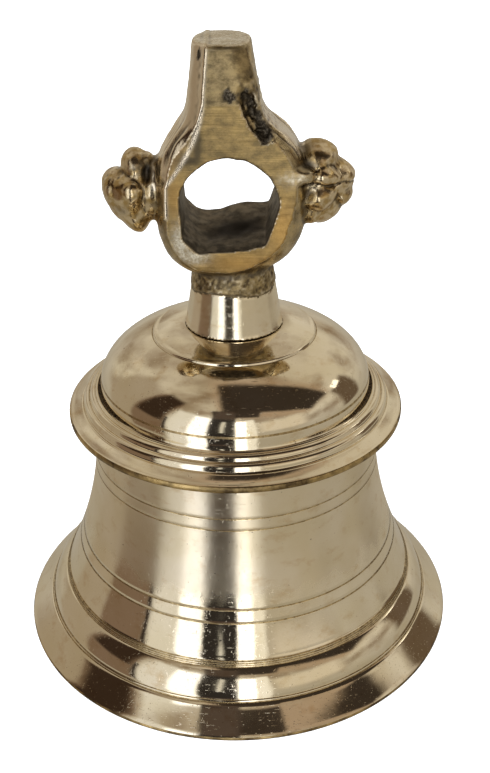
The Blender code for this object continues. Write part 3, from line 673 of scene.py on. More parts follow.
def knob_right(x, y, z):
    field = lump(x, y, z, (24.4, 0, 158.4), (9.6, 10.6, 11.2), 1.9)
    for centre, radii, fullness, lean, fillet in (
            ((25.8, -1.0, 164.6), (7.0, 8.8, 6.4), 1.6, 0.45, 1.4),
            ((31.4, 0.0, 158.4), (6.8, 8.8, 7.4), 1.5, 0.35, 1.4),
            ((33.5, -1.0, 153.9), (3.6, 5.8, 4.0), 1.6, 0.2, 1.2),
            ((26.8, -7.6, 161.6), (5.6, 4.6, 3.4), 1.7, -0.2, 0.9),
            ((26.0, -7.8, 155.2), (6.0, 5.0, 4.6), 1.6, 0.35, 0.8),
            ((26.4, 7.0, 158.6), (5.6, 5.0, 6.2), 1.6, 0.0, 0.8),
            ((28.2, -0.5, 150.8), (5.8, 7.8, 7.0), 1.6, -0.3, 1.4),
            ((24.0, -4.0, 150.0), (4.2, 5.4, 4.6), 1.8, 0.0, 1.6),
            ((19.4, -9.9, 162.3), (5.6, 4.2, 2.4), 2.6, 0.05, 0.4)):
        field = blend(field, lump(x, y, z, centre, radii, fullness, lean), fillet)
    field = cut_away(field, lump(x, y, z, (25.4, -12.2, 163.8), (0.8, 2.4, 0.7)), 0.4)
    field = cut_away(field, lump(x, y, z, (21.8, -10.0, 168.4), (1.5, 2.6, 1.0), 2.0, 0.5), 0.6)
    crack = z - (160.0 - 0.08 * (x - 18.0) + 0.5 * np.sin(0.8 * x))
    return field + 0.40 * np.exp(-(crack / 0.35) ** 2) * (x > 17.0)


def hook_hole(x, y, z):
    """The six-sided hole, its floor higher at the rear and hollowed across the middle."""
    floor_z = (139.7 + 0.03 * (x + 3.0) + 0.012 * np.maximum(x + 2.0, 0.0) ** 2
               + 0.18 * (y + 14.0)
               + 0.9 * np.cos(0.33 * (x - 3.0)) * (y + 14.0) / 28.0
               - 0.6 * np.exp(-((y + 2.0) / 5.0) ** 2) * (1.0 + 0.5 * np.sin(0.7 * x)))
    rise = z - HOLE_Z
    crown = np.hypot(x - HOLE_X, np.maximum(rise, 0.0) + 0.45 * np.minimum(rise, 0.0))
    hole = -blend(HOLE_RADIUS - crown, z - floor_z, 0.4)
    for wall in (-0.707 * (x + 10.6) - 0.707 * (z - 139.6) + 0.10 * (y + 14.0),
                 -(x + 15.2) - 0.05 * (z - 150.0),
                 0.942 * (x - 14.1) - 0.336 * (z - 153.4),
                 -0.80 * (x + 10.8) + 0.60 * (z - 165.4)):
        hole = -blend(-hole, -wall, 0.5)
    return hole + 0.22 * skin(x, y, z, 2.6, 4.4)


def arris_x(z):
    """Where the ground face meets the buffed left flank."""
    drop = np.clip(187.0 - z, -14.0, 27.0)
    return -8.0 - 0.09 * np.minimum(drop, 0.0) - 0.0192 * np.maximum(drop, 0.0) ** 1.95


def ragged_neck(x, y, z):
    """Height of the uneven line where the turned stem ends and the cast skin begins."""
    return NECK_BAND + 0.7 * np.sin(3.1 * np.arctan2(y, x) + 1.0) + 0.5 * skin(x, y, z, 2.2, 5.0)


def crown_field(x, y, z):
    """Distance to the crown's skin: negative in the metal."""
    tall = np.where(z > LOOP_MIDDLE, LOOP_TALL, LOOP_TALL - 1.7)
    square = LOOP_SQUARE - 0.6 * np.clip(x / 8.0, 0.0, 1.0) * np.clip((156.0 - z) / 8.0, 0.0, 1.0)
    loop = (((np.abs(x) / LOOP_WIDE) ** square + (np.abs(z - LOOP_MIDDLE) / tall) ** square
             + (np.abs(y) / LOOP_DEEP) ** square) ** (1 / square) - 1.0) * LOOP_WIDE
    slope = 0.658 * (np.abs(x) - 11.7) + 0.754 * (z - 177.7)
    loop = -blend(-loop, -slope, 3.0)
    drop = POST_TOP - z
    half_wide = 8.6 + 0.10 * drop + 0.0025 * drop ** 2
    half_deep = 9.8 + POST_SLOPE * drop
    middle = -2.3 + 0.02 * drop
    square = 2.3 + 2.2 * np.clip(drop / 14.0, 0.0, 1.0)
    post = ((np.abs((x - middle) / half_wide) ** square + np.abs(y / half_deep) ** square)
            ** (1 / square) - 1.0) * half_wide * 0.9
    left_flank = -0.809 * (x + 8.0) - 0.588 * (y + 13.4 - 0.33 * (z - 186.0))
    left_flank = left_flank - 0.05 * (186.0 - z)
    post = -blend(-post, -left_flank, 1.2)
    top = (z - POST_TOP + 0.2 - 0.052 * y) * 0.99
    post = -blend(-post, -np.maximum(top, LOOP_MIDDLE + 15.0 - z), 1.2)
    body = blend(loop, post, 5.0)
    # buffed ridges that run from the left flank down the shoulder
    shoulder = np.exp(-((x + 16.5) / 6.0) ** 2 - ((z - 172.0) / 6.5) ** 2)
    weave = np.abs(y) + 0.8 * np.sin(0.33 * z + 0.6)
    body = body - 0.34 * shoulder * np.cos(weave * 1.9)
    shoulder = np.exp(-((x - 16.5) / 5.0) ** 2 - ((z - 173.0) / 5.5) ** 2)
    weave = np.abs(y) - 8.5 + 0.5 * np.sin(0.6 * z)
    fold = np.exp(-(weave / 0.9) ** 2) - 0.9 * np.exp(-((weave - 1.5) / 0.5) ** 2)
    body = body - 0.7 * shoulder * fold
    # hollow beside the post's right front edge, where sand broke away
    for hand in (-1.0, 1.0):
        gully = lump(x, y, z, (GULLY_X, hand * 15.0, GULLY_Z), (3.0, 4.8, 9.4), 2.0, 0.42)
        body = cut_away(body, gully, 0.8)
        chip = lump(x, y, z, (-0.3, hand * 14.6, 187.4), (2.4, 1.2, 2.8), 1.4)
        body = cut_away(body, chip, 0.4)
    # bright burr along the left edge of the ground face
    edge = np.exp(-((x - arris_x(z)) / 0.8) ** 2) * (z > BURR_FOOT)
    body = body - 0.35 * edge
    # knobs
    body = blend(body, knob_left(x, y, z), 1.6)
    body = blend(body, knob_right(x, y, z), 1.6)
    # cast skin
    knobs = 1.0 / (1.0 + np.exp(-(np.abs(x) - KNOB_EDGE) * 1.2))
    pitted = near(x, z, 6.8, 182.0, 3.0, 8.5) + near(x, z, 10.2, 175.0, 2.6, 3.0)
    body = body + (0.10 + 0.12 * knobs) * skin(x, y, z, 3.4) + 0.05 * skin(x, y, z, 1.6, 3.3)
    body = body + (0.05 * knobs + 0.50 * np.minimum(pitted, 1.0)) * skin(x, y, z, 1.25, 8.1)
    # stem
    radius = np.hypot(x, y)
    share = (z - STEM_FOOT) / (STEM_TOP - STEM_FOOT)
    stem_radius = STEM_FOOT_RADIUS + (STEM_TOP_RADIUS - STEM_FOOT_RADIUS) * share
    ragged = ragged_neck(x, y, z)
    band = 1.0 / (1.0 + np.exp(-(z - ragged) * 3.0))
    rough = 0.28 + 0.22 * skin(x, y, z, 1.5, 2.0) + 0.12 * skin(x, y, z, 0.8, 9.0)
    groove = np.exp(-((z - ragged) / 0.35) ** 2)
    foot = 0.35 * np.exp(-((z - STEM_FOOT) / 0.5) ** 2)
    stem = np.maximum((radius - stem_radius - band * rough + 0.30 * groove - foot) * 0.99,
                      np.maximum(z - STEM_END, STEM_FOOT - z))
    body = blend(np.maximum(body, LOOP_FOOT - z), stem, 1.4)
    # ground front and rear
    side_wear = np.maximum(0.0, -(x + 12.5)) * 0.07 * np.exp(-((z - 146.0) / 7.0) ** 2)
    foot_wear = np.maximum(0.0, 141.0 - z) * 0.05
    above_stem = 9.0 * np.maximum(0.0, GRIND_FOOT - z)  # keeps the grinding off the turned stem
    brushed = 0.05 * skin(x * 0.15, 0 * y, z, 1.3)
    grind = np.abs(y) - GROUND_DEPTH - above_stem + side_wear + foot_wear + brushed
    body = -blend(-body, -grind, 0.25)
    return cut_away(body, hook_hole(x, y, z), 0.35)


def net_over(field, low, high, cell):
    """The field's zero surface as points and four-cornered faces, one point in each cell."""
    axes = [np.arange(low[axis], high[axis] + cell, cell) for axis in range(3)]
    x, y, z = np.meshgrid(*axes, indexing="ij", sparse=True)
    value = np.asarray(field(x, y, z), dtype=np.float32)
    inside = value < 0.0
    count = np.zeros([size - 1 for size in inside.shape], dtype=np.int8)
    corners = [(i, j, k) for i in (0, 1) for j in (0, 1) for k in (0, 1)]
    for i, j, k in corners:
        count += inside[i:i + count.shape[0], j:j + count.shape[1], k:k + count.shape[2]]
    cells = np.argwhere((count > 0) & (count < 8))
    number = np.full(count.shape, -1, dtype=np.int64)
    number[tuple(cells.T)] = np.arange(len(cells))
    total = np.zeros((len(cells), 3))
    crossings = np.zeros(len(cells))
    for first in corners:
        for axis in range(3):
            if first[axis]:
                continue
            second = tuple(1 if other == axis else first[other] for other in range(3))
            here = value[tuple((cells + first).T)]
            there = value[tuple((cells + second).T)]
            crosses = (here < 0.0) != (there < 0.0)
            share = here[crosses] / (here[crosses] - there[crosses])
            spot = np.tile(np.array(first, dtype=float), (int(crosses.sum()), 1))
            spot[:, axis] = share
            total[crosses] += spot
            crossings[crosses] += 1.0
    points = (cells + total / crossings[:, None]) * cell + [axis[0] for axis in axes]
    faces = []
    for axis in range(3):
        after = [slice(1, None) if other == axis else slice(None) for other in range(3)]
        before = [slice(None, -1) if other == axis else slice(None) for other in range(3)]
        change = inside[tuple(before)] != inside[tuple(after)]
        spots = np.argwhere(change)
        side, other_side = [other for other in range(3) if other != axis]
        spots = spots[(spots[:, side] > 0) & (spots[:, other_side] > 0)]
        spots = spots[(spots[:, side] < count.shape[side])
                      & (spots[:, other_side] < count.shape[other_side])]
        quad = []
        for move_side, move_other in ((1, 1), (0, 1), (0, 0), (1, 0)):
            step = np.zeros(3, dtype=int)
            step[side], step[other_side] = move_side, move_other
            quad.append(number[tuple((spots - step).T)])
        quad = np.stack(quad, axis=1)
        leaves = inside[tuple(before)][tuple(spots.T)]
        if axis == 1:
            leaves = ~leaves
        quad[~leaves] = quad[~leaves][:, ::-1]
        faces.append(quad)
    return points, np.concatenate(faces)


def settle(points, field, rounds=2):
    """Move each point along the field's slope onto its surface."""
    for _ in range(rounds):
        value = field(*points.T)
        slope = np.stack([field(*(points + step).T) - field(*(points - step).T)
                          for step in 0.08 * np.eye(3)], axis=1) / 0.16
        move = slope * (value / np.maximum((slope ** 2).sum(axis=1), 0.05))[:, None]
        length = np.linalg.norm(move, axis=1, keepdims=True)
        points = points - move * np.minimum(1.0, 0.3 / np.maximum(length, 1e-6))
    return points


crown_corners = [np.array(corner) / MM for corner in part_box("crown_loop")]
points, quads = net_over(crown_field, crown_corners[0] - 1.2, crown_corners[1] + 1.2, CELL)
points = settle(points, crown_field)
points = np.clip(points, crown_corners[0] + INSET, crown_corners[1] - INSET)
crown_mesh = bpy.data.meshes.new("crown")
crown_mesh.from_pydata((points * MM).tolist(), [], quads.tolist())
crown_mesh.polygons.foreach_set("use_smooth", [True] * len(quads))
crown_mesh.update()
crown = bpy.data.objects.new("crown", crown_mesh)
bpy.context.scene.collection.objects.link(crown)
x, y, z = points.T
tilt = np.array([vertex.normal[:] for vertex in crown_mesh.vertices])


def paint_share(mesh, name, values):
    """Store how much of one finish each point has, from 0 to 1."""
    layer = mesh.attributes.new(name, "FLOAT", "POINT")
    layer.data.foreach_set("value", np.clip(values, 0.0, 1.0).astype(np.float32))


def spots(x, z, *marks):
    """The sum of soft spots on the front and rear, each (share, x, z, width, height)."""
    return sum(share * near(x, z, *place) for share, *place in marks)


# where the ground faces, the hole, the stem and the post's top are
flat_face = (np.abs(np.abs(y) - GROUND_DEPTH) < 0.8) & (np.abs(tilt[:, 1]) > 0.93)
in_hole = (hook_hole(x, y, z) < 0.5) & (np.abs(tilt[:, 1]) < 0.8)
ragged = ragged_neck(x, y, z)
on_stem = (z < ragged) & (np.hypot(x, y) < 17.5)
as_cast = ~flat_face & ~in_hole & ~on_stem
top_face = (z > POST_TOP - 1.6) & (tilt[:, 2] > 0.85)
paint_share(crown_mesh, "ground", flat_face.astype(float))
paint_share(crown_mesh, "knob", (np.abs(x) - KNOB_EDGE) / 2.0)
paint_share(crown_mesh, "dull", ((z > 184.0) * (np.abs(y) > 8.0) + (z > ragged) * (z < 133.0)) * 1.0)

# dark skin in the gully beside the post and in the chips, dark pits in the knobs, a dark line round the
# neck, painted shade in the crease under the loop, and the hook hole's inside painted dark
gully_line = x - GULLY_X + 0.43 * (z - GULLY_Z)
gully_share = np.exp(-(gully_line / 2.3) ** 2 - ((z - GULLY_Z) / 8.6) ** 4)
chip_width = 1.9 - 0.5 * (z - 186.9)
gully_share = gully_share + 1.2 * near(x, z, -0.3, 186.9, chip_width, 2.6) * (z > 184.6)
gully_share = gully_share + spots(x, z, (0.9, -8.8, 197.5, 1.0, 2.4), (0.8, 10.0, 175.0, 2.2, 2.4))
gully_share = (gully_share + 0.45 * skin(x, y, z, 1.1) - 0.45) * 3.0 * (np.abs(y) > 7.0)
dark_pits_and_shade_line = 0.9 * near(x, z, -28.6, 163.4, 3.0, 2.6) * (0.5 + skin(x, y, z, 1.0, 2.0))
dark_pits_and_shade_line = dark_pits_and_shade_line + spots(x, z, (1.0, -25.3, 163.2, 1.9, 3.2), (0.5, -33.5, 151.5, 2.2, 1.6),
                                (0.9, 23.0, 165.2, 2.4, 1.0), (0.7, 22.0, 169.0, 2.0, 1.2))
dark_pits_and_shade_line = dark_pits_and_shade_line * (np.abs(y) > 3.0) + 0.75 * np.exp(-((z - ragged - 0.2) / 0.35) ** 2)
# painted shade: a dark line in the crease where the loop's underside meets the stem
dark_pits_and_shade_line = dark_pits_and_shade_line + 0.6 * np.exp(-((z - 131.0) / 0.8) ** 2) * (np.hypot(x, y) < 15.5)
paint_share(crown_mesh, "dark_skin_and_shade", np.where(in_hole, 1.0, np.maximum(gully_share, dark_pits_and_shade_line)))
paint_share(crown_mesh, "grime", (gully_share > 0.2) * ~in_hole * 1.0)
# painted shade: near black deep in the middle of the hook hole's floor and in the left knob's deep
# crevice
hole_floor_shade = in_hole * np.exp(-((x - 1.0) / 9.0) ** 2 - ((y + 0.5) / 5.5) ** 2) * (z < 150.0)
deep_pit_shade = near(x, z, -25.3, 163.2, 1.6, 2.8) * (np.abs(y) > 3.0)
paint_share(crown_mesh, "black", 1.3 * hole_floor_shade + 0.8 * deep_pit_shade)

# painted highlight on the cast skin's ridges and painted shade in its crevices, from how the surface
# bends
BEND_REACH = 0.7
bend = sum(crown_field(*(points + step).T) + crown_field(*(points - step).T)
           for step in BEND_REACH * np.eye(3))
bend = (bend - 6.0 * crown_field(*points.T)) / BEND_REACH ** 2  # over 0 on a ridge
paint_share(crown_mesh, "crevice", (-bend - 0.08) * 1.7 * as_cast)
paint_share(crown_mesh, "ridge", (bend - 0.30) * 0.8 * as_cast)

# pale metal: worn on the crumbly patch and the post's top, and a painted highlight on two glint spots of
# the ground faces
crumbly = near(x, z, 19.6, 162.2, 4.5, 2.0) * (y < -10.0) * (0.7 + 0.6 * skin(x, y, z, 1.0, 6.0))
# painted highlight: the glint spots lighten the ground faces at the loop's lower left
glint = spots(x, z, (1.0, -15.8, 143.5, 2.2, 5.0), (1.0, -11.5, 138.2, 4.0, 2.0))
worn_and_glint = np.maximum(crumbly, 1.2 * glint * flat_face)
paint_share(crown_mesh, "pale", np.maximum(top_face * 1.0, worn_and_glint))

# stains and reddish clouds on the ground faces
stain = spots(x, z, (1.0, -9.8, 174.5, 1.6, 5.5), (0.6, -13.0, 168.5, 3.0, 2.0))
paint_share(crown_mesh, "stain", (1.5 * stain + 0.4 * skin(x, y, z, 1.6)) * (stain > 0.05) * flat_face)
rusty = spots(x, z, (1.0, 15.0, 147.0, 5.0, 9.0), (1.0, 2.0, 136.0, 11.0, 4.0),
              (0.8, -17.0, 157.0, 3.0, 7.0))
paint_share(crown_mesh, "rusty", rusty * (np.abs(y) > 12.0))

# buffed flanks and burr, with a brown stripe along the burr's outer side: a painted reflection of the
# brown room
from_arris = x - arris_x(z)
buffed = (from_arris < 0.0) & (x > -24.0) & (z > 158.0) & ~flat_face & ~top_face
buffed_right = (x > 8.5) & (x < 22.0) & (z > 168.0) & (np.abs(y) < 9.5)
on_burr = np.exp(-(from_arris / 0.7) ** 2) * (z > BURR_FOOT) * (y < -8.0)
paint_share(crown_mesh, "buffed", np.maximum((buffed | buffed_right) * 1.0, on_burr))
brown_reflection = np.exp(-((from_arris + 2.4) / 1.3) ** 2) * (z > 163.0) * (y < 6.0)
paint_share(crown_mesh, "brown_reflection", brown_reflection)


def share_of(nodes, name):
    """The stored share of one finish."""
    source = nodes.new("ShaderNodeAttribute")
    source.attribute_name = name
    return source.outputs["Fac"]


def times(nodes, links, first, second):
    return work_out(nodes, links, "MULTIPLY", first, second)


crown_paint, nodes, links, shader, place = start_metal("yellow_cast_bronze", 0.35)
cloud = grain(nodes, links, place, (1, 1, 1), 5.0, 4.0, 0.6)
tone = blend_colour(nodes, links, between(nodes, links, cloud, 0.36, 0.64),
                    (0.25, 0.195, 0.105), (0.56, 0.445, 0.25))
glow = grain(nodes, links, place, (1, 1, 1), 2.2, 2.0)
tone = blend_colour(nodes, links, between(nodes, links, glow, 0.58, 0.76, 0.0, 0.6), tone,
                    (0.60, 0.40, 0.14))
fine_pits = grain(nodes, links, place, (1, 1, 1), 0.8, 3.0, 0.7)
tone = blend_colour(nodes, links, between(nodes, links, fine_pits, 0.60, 0.72), tone,
                    (0.11, 0.08, 0.045))
brush = grain(nodes, links, place, (30, 4, 0.55), 0.5, 3.0, 0.6)
ground_tone = blend_colour(nodes, links, between(nodes, links, brush, 0.32, 0.68),
                           (0.345, 0.245, 0.095), (0.575, 0.415, 0.180))
patches = grain(nodes, links, place, (1.6, 1, 1), 3.6, 6.0, 0.75)
ground_tone = blend_colour(nodes, links, between(nodes, links, patches, 0.40, 0.62, 0.0, 0.85),
                           ground_tone, (0.19, 0.145, 0.075))
ground_tone = blend_colour(nodes, links, times(nodes, links, share_of(nodes, "rusty"), 0.6),
                           ground_tone, (0.60, 0.35, 0.10))
ground_tone = blend_colour(nodes, links, times(nodes, links, share_of(nodes, "stain"), 0.9),
                           ground_tone, (0.10, 0.082, 0.052))
ground_share = share_of(nodes, "ground")
tone = blend_colour(nodes, links, ground_share, tone, ground_tone)
worn_tone = blend_colour(nodes, links, between(nodes, links, glow, 0.42, 0.60), (0.80, 0.67, 0.46),
                         (0.52, 0.37, 0.16))
tone = blend_colour(nodes, links, times(nodes, links, share_of(nodes, "knob"), 0.75), tone,
                    worn_tone)
dull_tone = blend_colour(nodes, links, between(nodes, links, patches, 0.40, 0.60),
                         (0.50, 0.385, 0.195), (0.17, 0.13, 0.07))
tone = blend_colour(nodes, links, times(nodes, links, share_of(nodes, "dull"), 0.85), tone,
                    dull_tone)
tone = blend_colour(nodes, links, share_of(nodes, "buffed"), tone, (0.84, 0.74, 0.57))
# painted reflection: a brown stripe on the buffed flank
tone = blend_colour(nodes, links, times(nodes, links, share_of(nodes, "brown_reflection"), 0.3), tone,
                    (0.36, 0.235, 0.13))
# the pale tone carries wear and the painted highlight of the glint spots
pale_tone = blend_colour(nodes, links, between(nodes, links, fine_pits, 0.35, 0.62),
                         (0.90, 0.85, 0.70), (0.55, 0.46, 0.30))
tone = blend_colour(nodes, links, share_of(nodes, "pale"), tone, pale_tone)
# painted highlight: ridges of the cast skin lightened
tone = blend_colour(nodes, links, times(nodes, links, share_of(nodes, "ridge"), 0.6), tone,
                    (0.90, 0.80, 0.60))
# painted shade: crevices of the cast skin darkened
tone = blend_colour(nodes, links, times(nodes, links, share_of(nodes, "crevice"), 0.85), tone,
                    (0.075, 0.055, 0.035))
dark_skin_cloud = grain(nodes, links, place, (1, 1, 1), 3.0, 4.0, 0.6)
dark_skin_and_shade_tone = blend_colour(nodes, links, between(nodes, links, dark_skin_cloud, 0.38, 0.62),
                         (0.120, 0.105, 0.080), (0.280, 0.240, 0.180))
# painted shade: near black deep in the hook hole and in the left knob's crevice
dark_skin_and_shade_tone = blend_colour(nodes, links, share_of(nodes, "black"), dark_skin_and_shade_tone, (0.042, 0.035, 0.028))
grime = times(nodes, links, share_of(nodes, "grime"),
              between(nodes, links, fine_pits, 0.40, 0.56, 0.35, 1.0))
dark_skin_and_shade_tone = blend_colour(nodes, links, grime, dark_skin_and_shade_tone, (0.045, 0.037, 0.027))
# dark skin, dark pits and painted shade laid over the base colour
tone = blend_colour(nodes, links, share_of(nodes, "dark_skin_and_shade"), tone, dark_skin_and_shade_tone)
links.new(tone, shader.inputs["Base Color"])


gloss = between(nodes, links, cloud, 0.3, 0.7, 0.34, 0.17)
gloss = mix_value(nodes, links, share_of(nodes, "knob"), gloss,
                  between(nodes, links, cloud, 0.3, 0.7, 0.22, 0.11))
gloss = mix_value(nodes, links, share_of(nodes, "dull"), gloss, 0.42)
gloss = mix_value(nodes, links, ground_share, gloss, 0.38)
gloss = mix_value(nodes, links, share_of(nodes, "buffed"), gloss, 0.13)
gloss = mix_value(nodes, links, share_of(nodes, "dark_skin_and_shade"), gloss, 0.55)
links.new(gloss, shader.inputs["Roughness"])
press(nodes, links, shader, [(times(nodes, links, brush, ground_share), 0.03),
                             (fine_pits, 0.05)])
crown_mesh.materials.append(crown_paint)
stem_paint = turned_bronze("turned_stem_bronze", 0.20, 0.04, 0.80, 0.012)
crown_mesh.materials.append(stem_paint)
stem_faces = on_stem[quads].all(axis=1)
crown_mesh.polygons.foreach_set("material_index", stem_faces.astype(np.int32))
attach(crown, "root")
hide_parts("crown_loop")


# Eye bolt
# A zinc-plated bolt with a turned eye.  Its shank comes up through the dome and screws into the
# stem; the eye below carries the clapper's link.
EYE_WIRE, EYE_RADIUS, SHANK_RADIUS = 2.2, 5.6, 4.0
THREAD_PITCH, THREAD_DEPTH, NUT_FLATS = 1.25, 0.55, 12.96
bolt_low, bolt_high = (corner.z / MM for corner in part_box("crown_eye_bolt"))
eye_middle = bolt_low + EYE_RADIUS + EYE_WIRE
nut_low, nut_high = (corner.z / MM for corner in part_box("crown_nut"))


def wire_ring(shape, path, wire, sides=20):
    """Sweep round wire along a closed flat path of points, in millimetres."""
    count = len(path)
    across = (path[1] - path[0]).cross(path[2] - path[1])
    for step in range(3, count):
        if across.length > 1e-6:
            break
        across = (path[1] - path[0]).cross(path[step] - path[1])
    across.normalize()
    rings = []
    for here in range(count):
        along = (path[(here + 1) % count] - path[here - 1]).normalized()
        out = along.cross(across)
        rings.append([shape.verts.new((path[here] + wire * (math.cos(turn) * out
                                                           + math.sin(turn) * across)) * MM)
                      for turn in (math.tau * side / sides for side in range(sides))])
    for here in range(count):
        after = (here + 1) % count
        for side in range(sides):
            far = (side + 1) % sides
            face = shape.faces.new((rings[here][side], rings[here][far], rings[after][far],
                                    rings[after][side]))
            face.smooth = True


def threaded_bar(shape, radius, low, high, pitch, depth, steps=28, tip=0.5):
    """A screwed rod with plain chamfered ends: a spiral ridge of the given pitch."""
    rows_per_turn = 8
    rows = int((high - low) / pitch * rows_per_turn)
    previous = None
    levels = [(low, 0.0)] + [(low + tip + (high - low - 2 * tip) * row / rows, 1.0)
                             for row in range(rows + 1)] + [(high, 0.0)]
    for level, (height, full) in enumerate(levels):
        ring = []
        for step in range(steps):
            turn = math.tau * step / steps
            phase = (height / pitch - step / steps) % 1.0
            crest = abs(2.0 * phase - 1.0)
            reach = radius - depth * (1.0 - min(1.0, 1.25 * crest))
            if not full:
                reach = radius - depth - 0.2
            ring.append(shape.verts.new((reach * math.cos(turn) * MM, reach * math.sin(turn) * MM,
                                         height * MM)))
        if previous is None:
            shape.faces.new(ring[::-1])
        else:
            for step in range(steps):
                after = (step + 1) % steps
                shape.faces.new((previous[step], previous[after], ring[after], ring[step]))
        previous = ring
    shape.faces.new(previous)


def finished_piece(name, shape, paint, body, node):
    """Turn a bmesh into one of the bell's pieces."""
    bmesh.ops.recalc_face_normals(shape, faces=shape.faces)
    mesh = bpy.data.meshes.new(name)
    shape.to_mesh(mesh)
    shape.free()
    mesh.materials.append(paint)
    piece = bpy.data.objects.new(name, mesh)
    bpy.context.scene.collection.objects.link(piece)
    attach(piece, body)
    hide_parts(node)
    return piece


def ring_path(middle, radius, steps=40):
    """A circle in the XZ plane about a height on the axis."""
    return [Vector((radius * math.cos(math.tau * step / steps), 0.0,
                    middle + radius * math.sin(math.tau * step / steps))) for step in range(steps)]


zinc = dull_metal("zinc_plate", ((0.48, 0.49, 0.50), (0.66, 0.66, 0.65)), 0.30, 1.4, 0.012)
shape = bmesh.new()
wire_ring(shape, ring_path(eye_middle, EYE_RADIUS), EYE_WIRE - INSET)
threaded_bar(shape, SHANK_RADIUS - 0.03, eye_middle + EYE_RADIUS - 0.5, bolt_high - INSET,
             THREAD_PITCH, THREAD_DEPTH)
finished_piece("eye_bolt", shape, zinc, "root", "crown_eye_bolt")


# Washer, spring washer and nut
# Plain washer under the dome, a split spring washer, and a hexagon nut that pulls the stem down
# on the dome.  All zinc plated, with broken edges.
def turned_ring(shape, inner, outer, low, high, edge, steps=96, gap=0.0, rise=0.0):
    """A flat ring with broken edges; a gap leaves it split, its ends apart by rise."""
    corners = [(inner, low + edge), (inner + edge, low), (outer - edge, low), (outer, low + edge),
               (outer, high - edge), (outer - edge, high), (inner + edge, high),
               (inner, high - edge)]
    rings = []
    open_steps = steps + 1 if gap else steps
    for step in range(open_steps):
        turn = (gap / 2 + (math.tau - gap) * step / steps) if gap else math.tau * step / steps
        lift = rise * (step / steps - 0.5)
        rings.append([shape.verts.new((radius * math.cos(turn) * MM, radius * math.sin(turn) * MM,
                                       (height + lift) * MM)) for radius, height in corners])
    for here in range(steps if gap else open_steps):
        after = (here + 1) % open_steps
        for corner in range(8):
            far = (corner + 1) % 8
            shape.faces.new((rings[here][corner], rings[here][far], rings[after][far],
                             rings[after][corner]))
    if gap:
        shape.faces.new(rings[0])
        shape.faces.new(rings[-1][::-1])


for name, node, inner, edge, gap in (("washer", "crown_washer", 4.4, 0.15, 0.0),
                                     ("spring_washer", "crown_lock_washer", 4.3, 0.12, 0.19)):
    ring_low, ring_high = (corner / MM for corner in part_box(node))
    shape = bmesh.new()
    turned_ring(shape, inner, ring_high.x - INSET, ring_low.z, ring_high.z, edge, gap=gap)
    finished_piece(name, shape, zinc, "root", node)


HEXAGON_CORNER = 0.1547  # how far a corner stands out, as a share of half the flats


def hexagon_nut(shape, flats, bore, low, high, pitch):
    """A nut: hexagon with its corners turned off at both ends, and a threaded bore."""
    steps = 72
    half = flats / 2
    chamfer = 0.17 * (high - low)
    rings = []
    for height, reach, hexagonal in ((low, half * 0.96, False), (low + 0.10, half * 0.99, False),
                                     (low + chamfer, 0.0, True), (high - chamfer, 0.0, True),
                                     (high - 0.10, half * 0.99, False), (high, half * 0.96, False)):
        ring = []
        for step in range(steps):
            turn = math.tau * step / steps
            local = (turn + math.pi / 6) % (math.pi / 3) - math.pi / 6
            hexagon = half / math.cos(local)
            if hexagonal:
                level = low + 0.06 if height < (low + high) / 2 else high - 0.06
                drop = (hexagon - half) / (half * HEXAGON_CORNER) * chamfer
                place = level + drop if height < (low + high) / 2 else level - drop
                radius = hexagon
            else:
                place, radius = height, min(reach, hexagon)
            ring.append(shape.verts.new((radius * math.cos(turn) * MM,
                                         radius * math.sin(turn) * MM, place * MM)))
        rings.append(ring)
    rows = int((high - low) / pitch * 8)
    for row in range(rows + 1):
        height = high - (high - low) * row / rows
        ring = []
        for step in range(steps):
            turn = math.tau * step / steps
            crest = abs(2.0 * ((height / pitch - step / steps) % 1.0) - 1.0)
            radius = bore + 0.35 * pitch * crest + (0.3 if row in (0, rows) else 0.0)
            ring.append(shape.verts.new((radius * math.cos(turn) * MM,
                                         radius * math.sin(turn) * MM, height * MM)))
        rings.append(ring)
    for here in range(len(rings)):
        after = (here + 1) % len(rings)
        for step in range(steps):
            far = (step + 1) % steps
            shape.faces.new((rings[here][step], rings[here][far], rings[after][far],
                             rings[after][step]))


shape = bmesh.new()
hexagon_nut(shape, NUT_FLATS, SHANK_RADIUS + 0.28, nut_low, nut_high, THREAD_PITCH)
finished_piece("nut", shape, zinc, "root", "crown_nut")


# Clapper link
# A loose oval link of bright steel wire, welded shut, hanging in the bolt's eye.  It swings
# sideways on the eye and carries the clapper.
LINK_WIRE, LINK_BEND = 1.6, 4.1
link_low, link_high = (corner.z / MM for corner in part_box("clapper_link"))
upper_middle = link_high - LINK_WIRE - LINK_BEND
lower_middle = link_low + LINK_WIRE + LINK_BEND
link_path = []
for middle, start in ((upper_middle, 0.0), (lower_middle, math.pi)):
    for step in range(25):
        turn = start + math.pi * step / 24
        link_path.append(Vector((0.0, LINK_BEND * math.cos(turn),
                                 middle + LINK_BEND * math.sin(turn))))
bright = dull_metal("bright_steel", ((0.50, 0.49, 0.47), (0.70, 0.69, 0.67)), 0.24, 2.0, 0.008)
shape = bmesh.new()
wire_ring(shape, link_path, LINK_WIRE - INSET)
finished_piece("link", shape, bright, "link", "clapper_link")


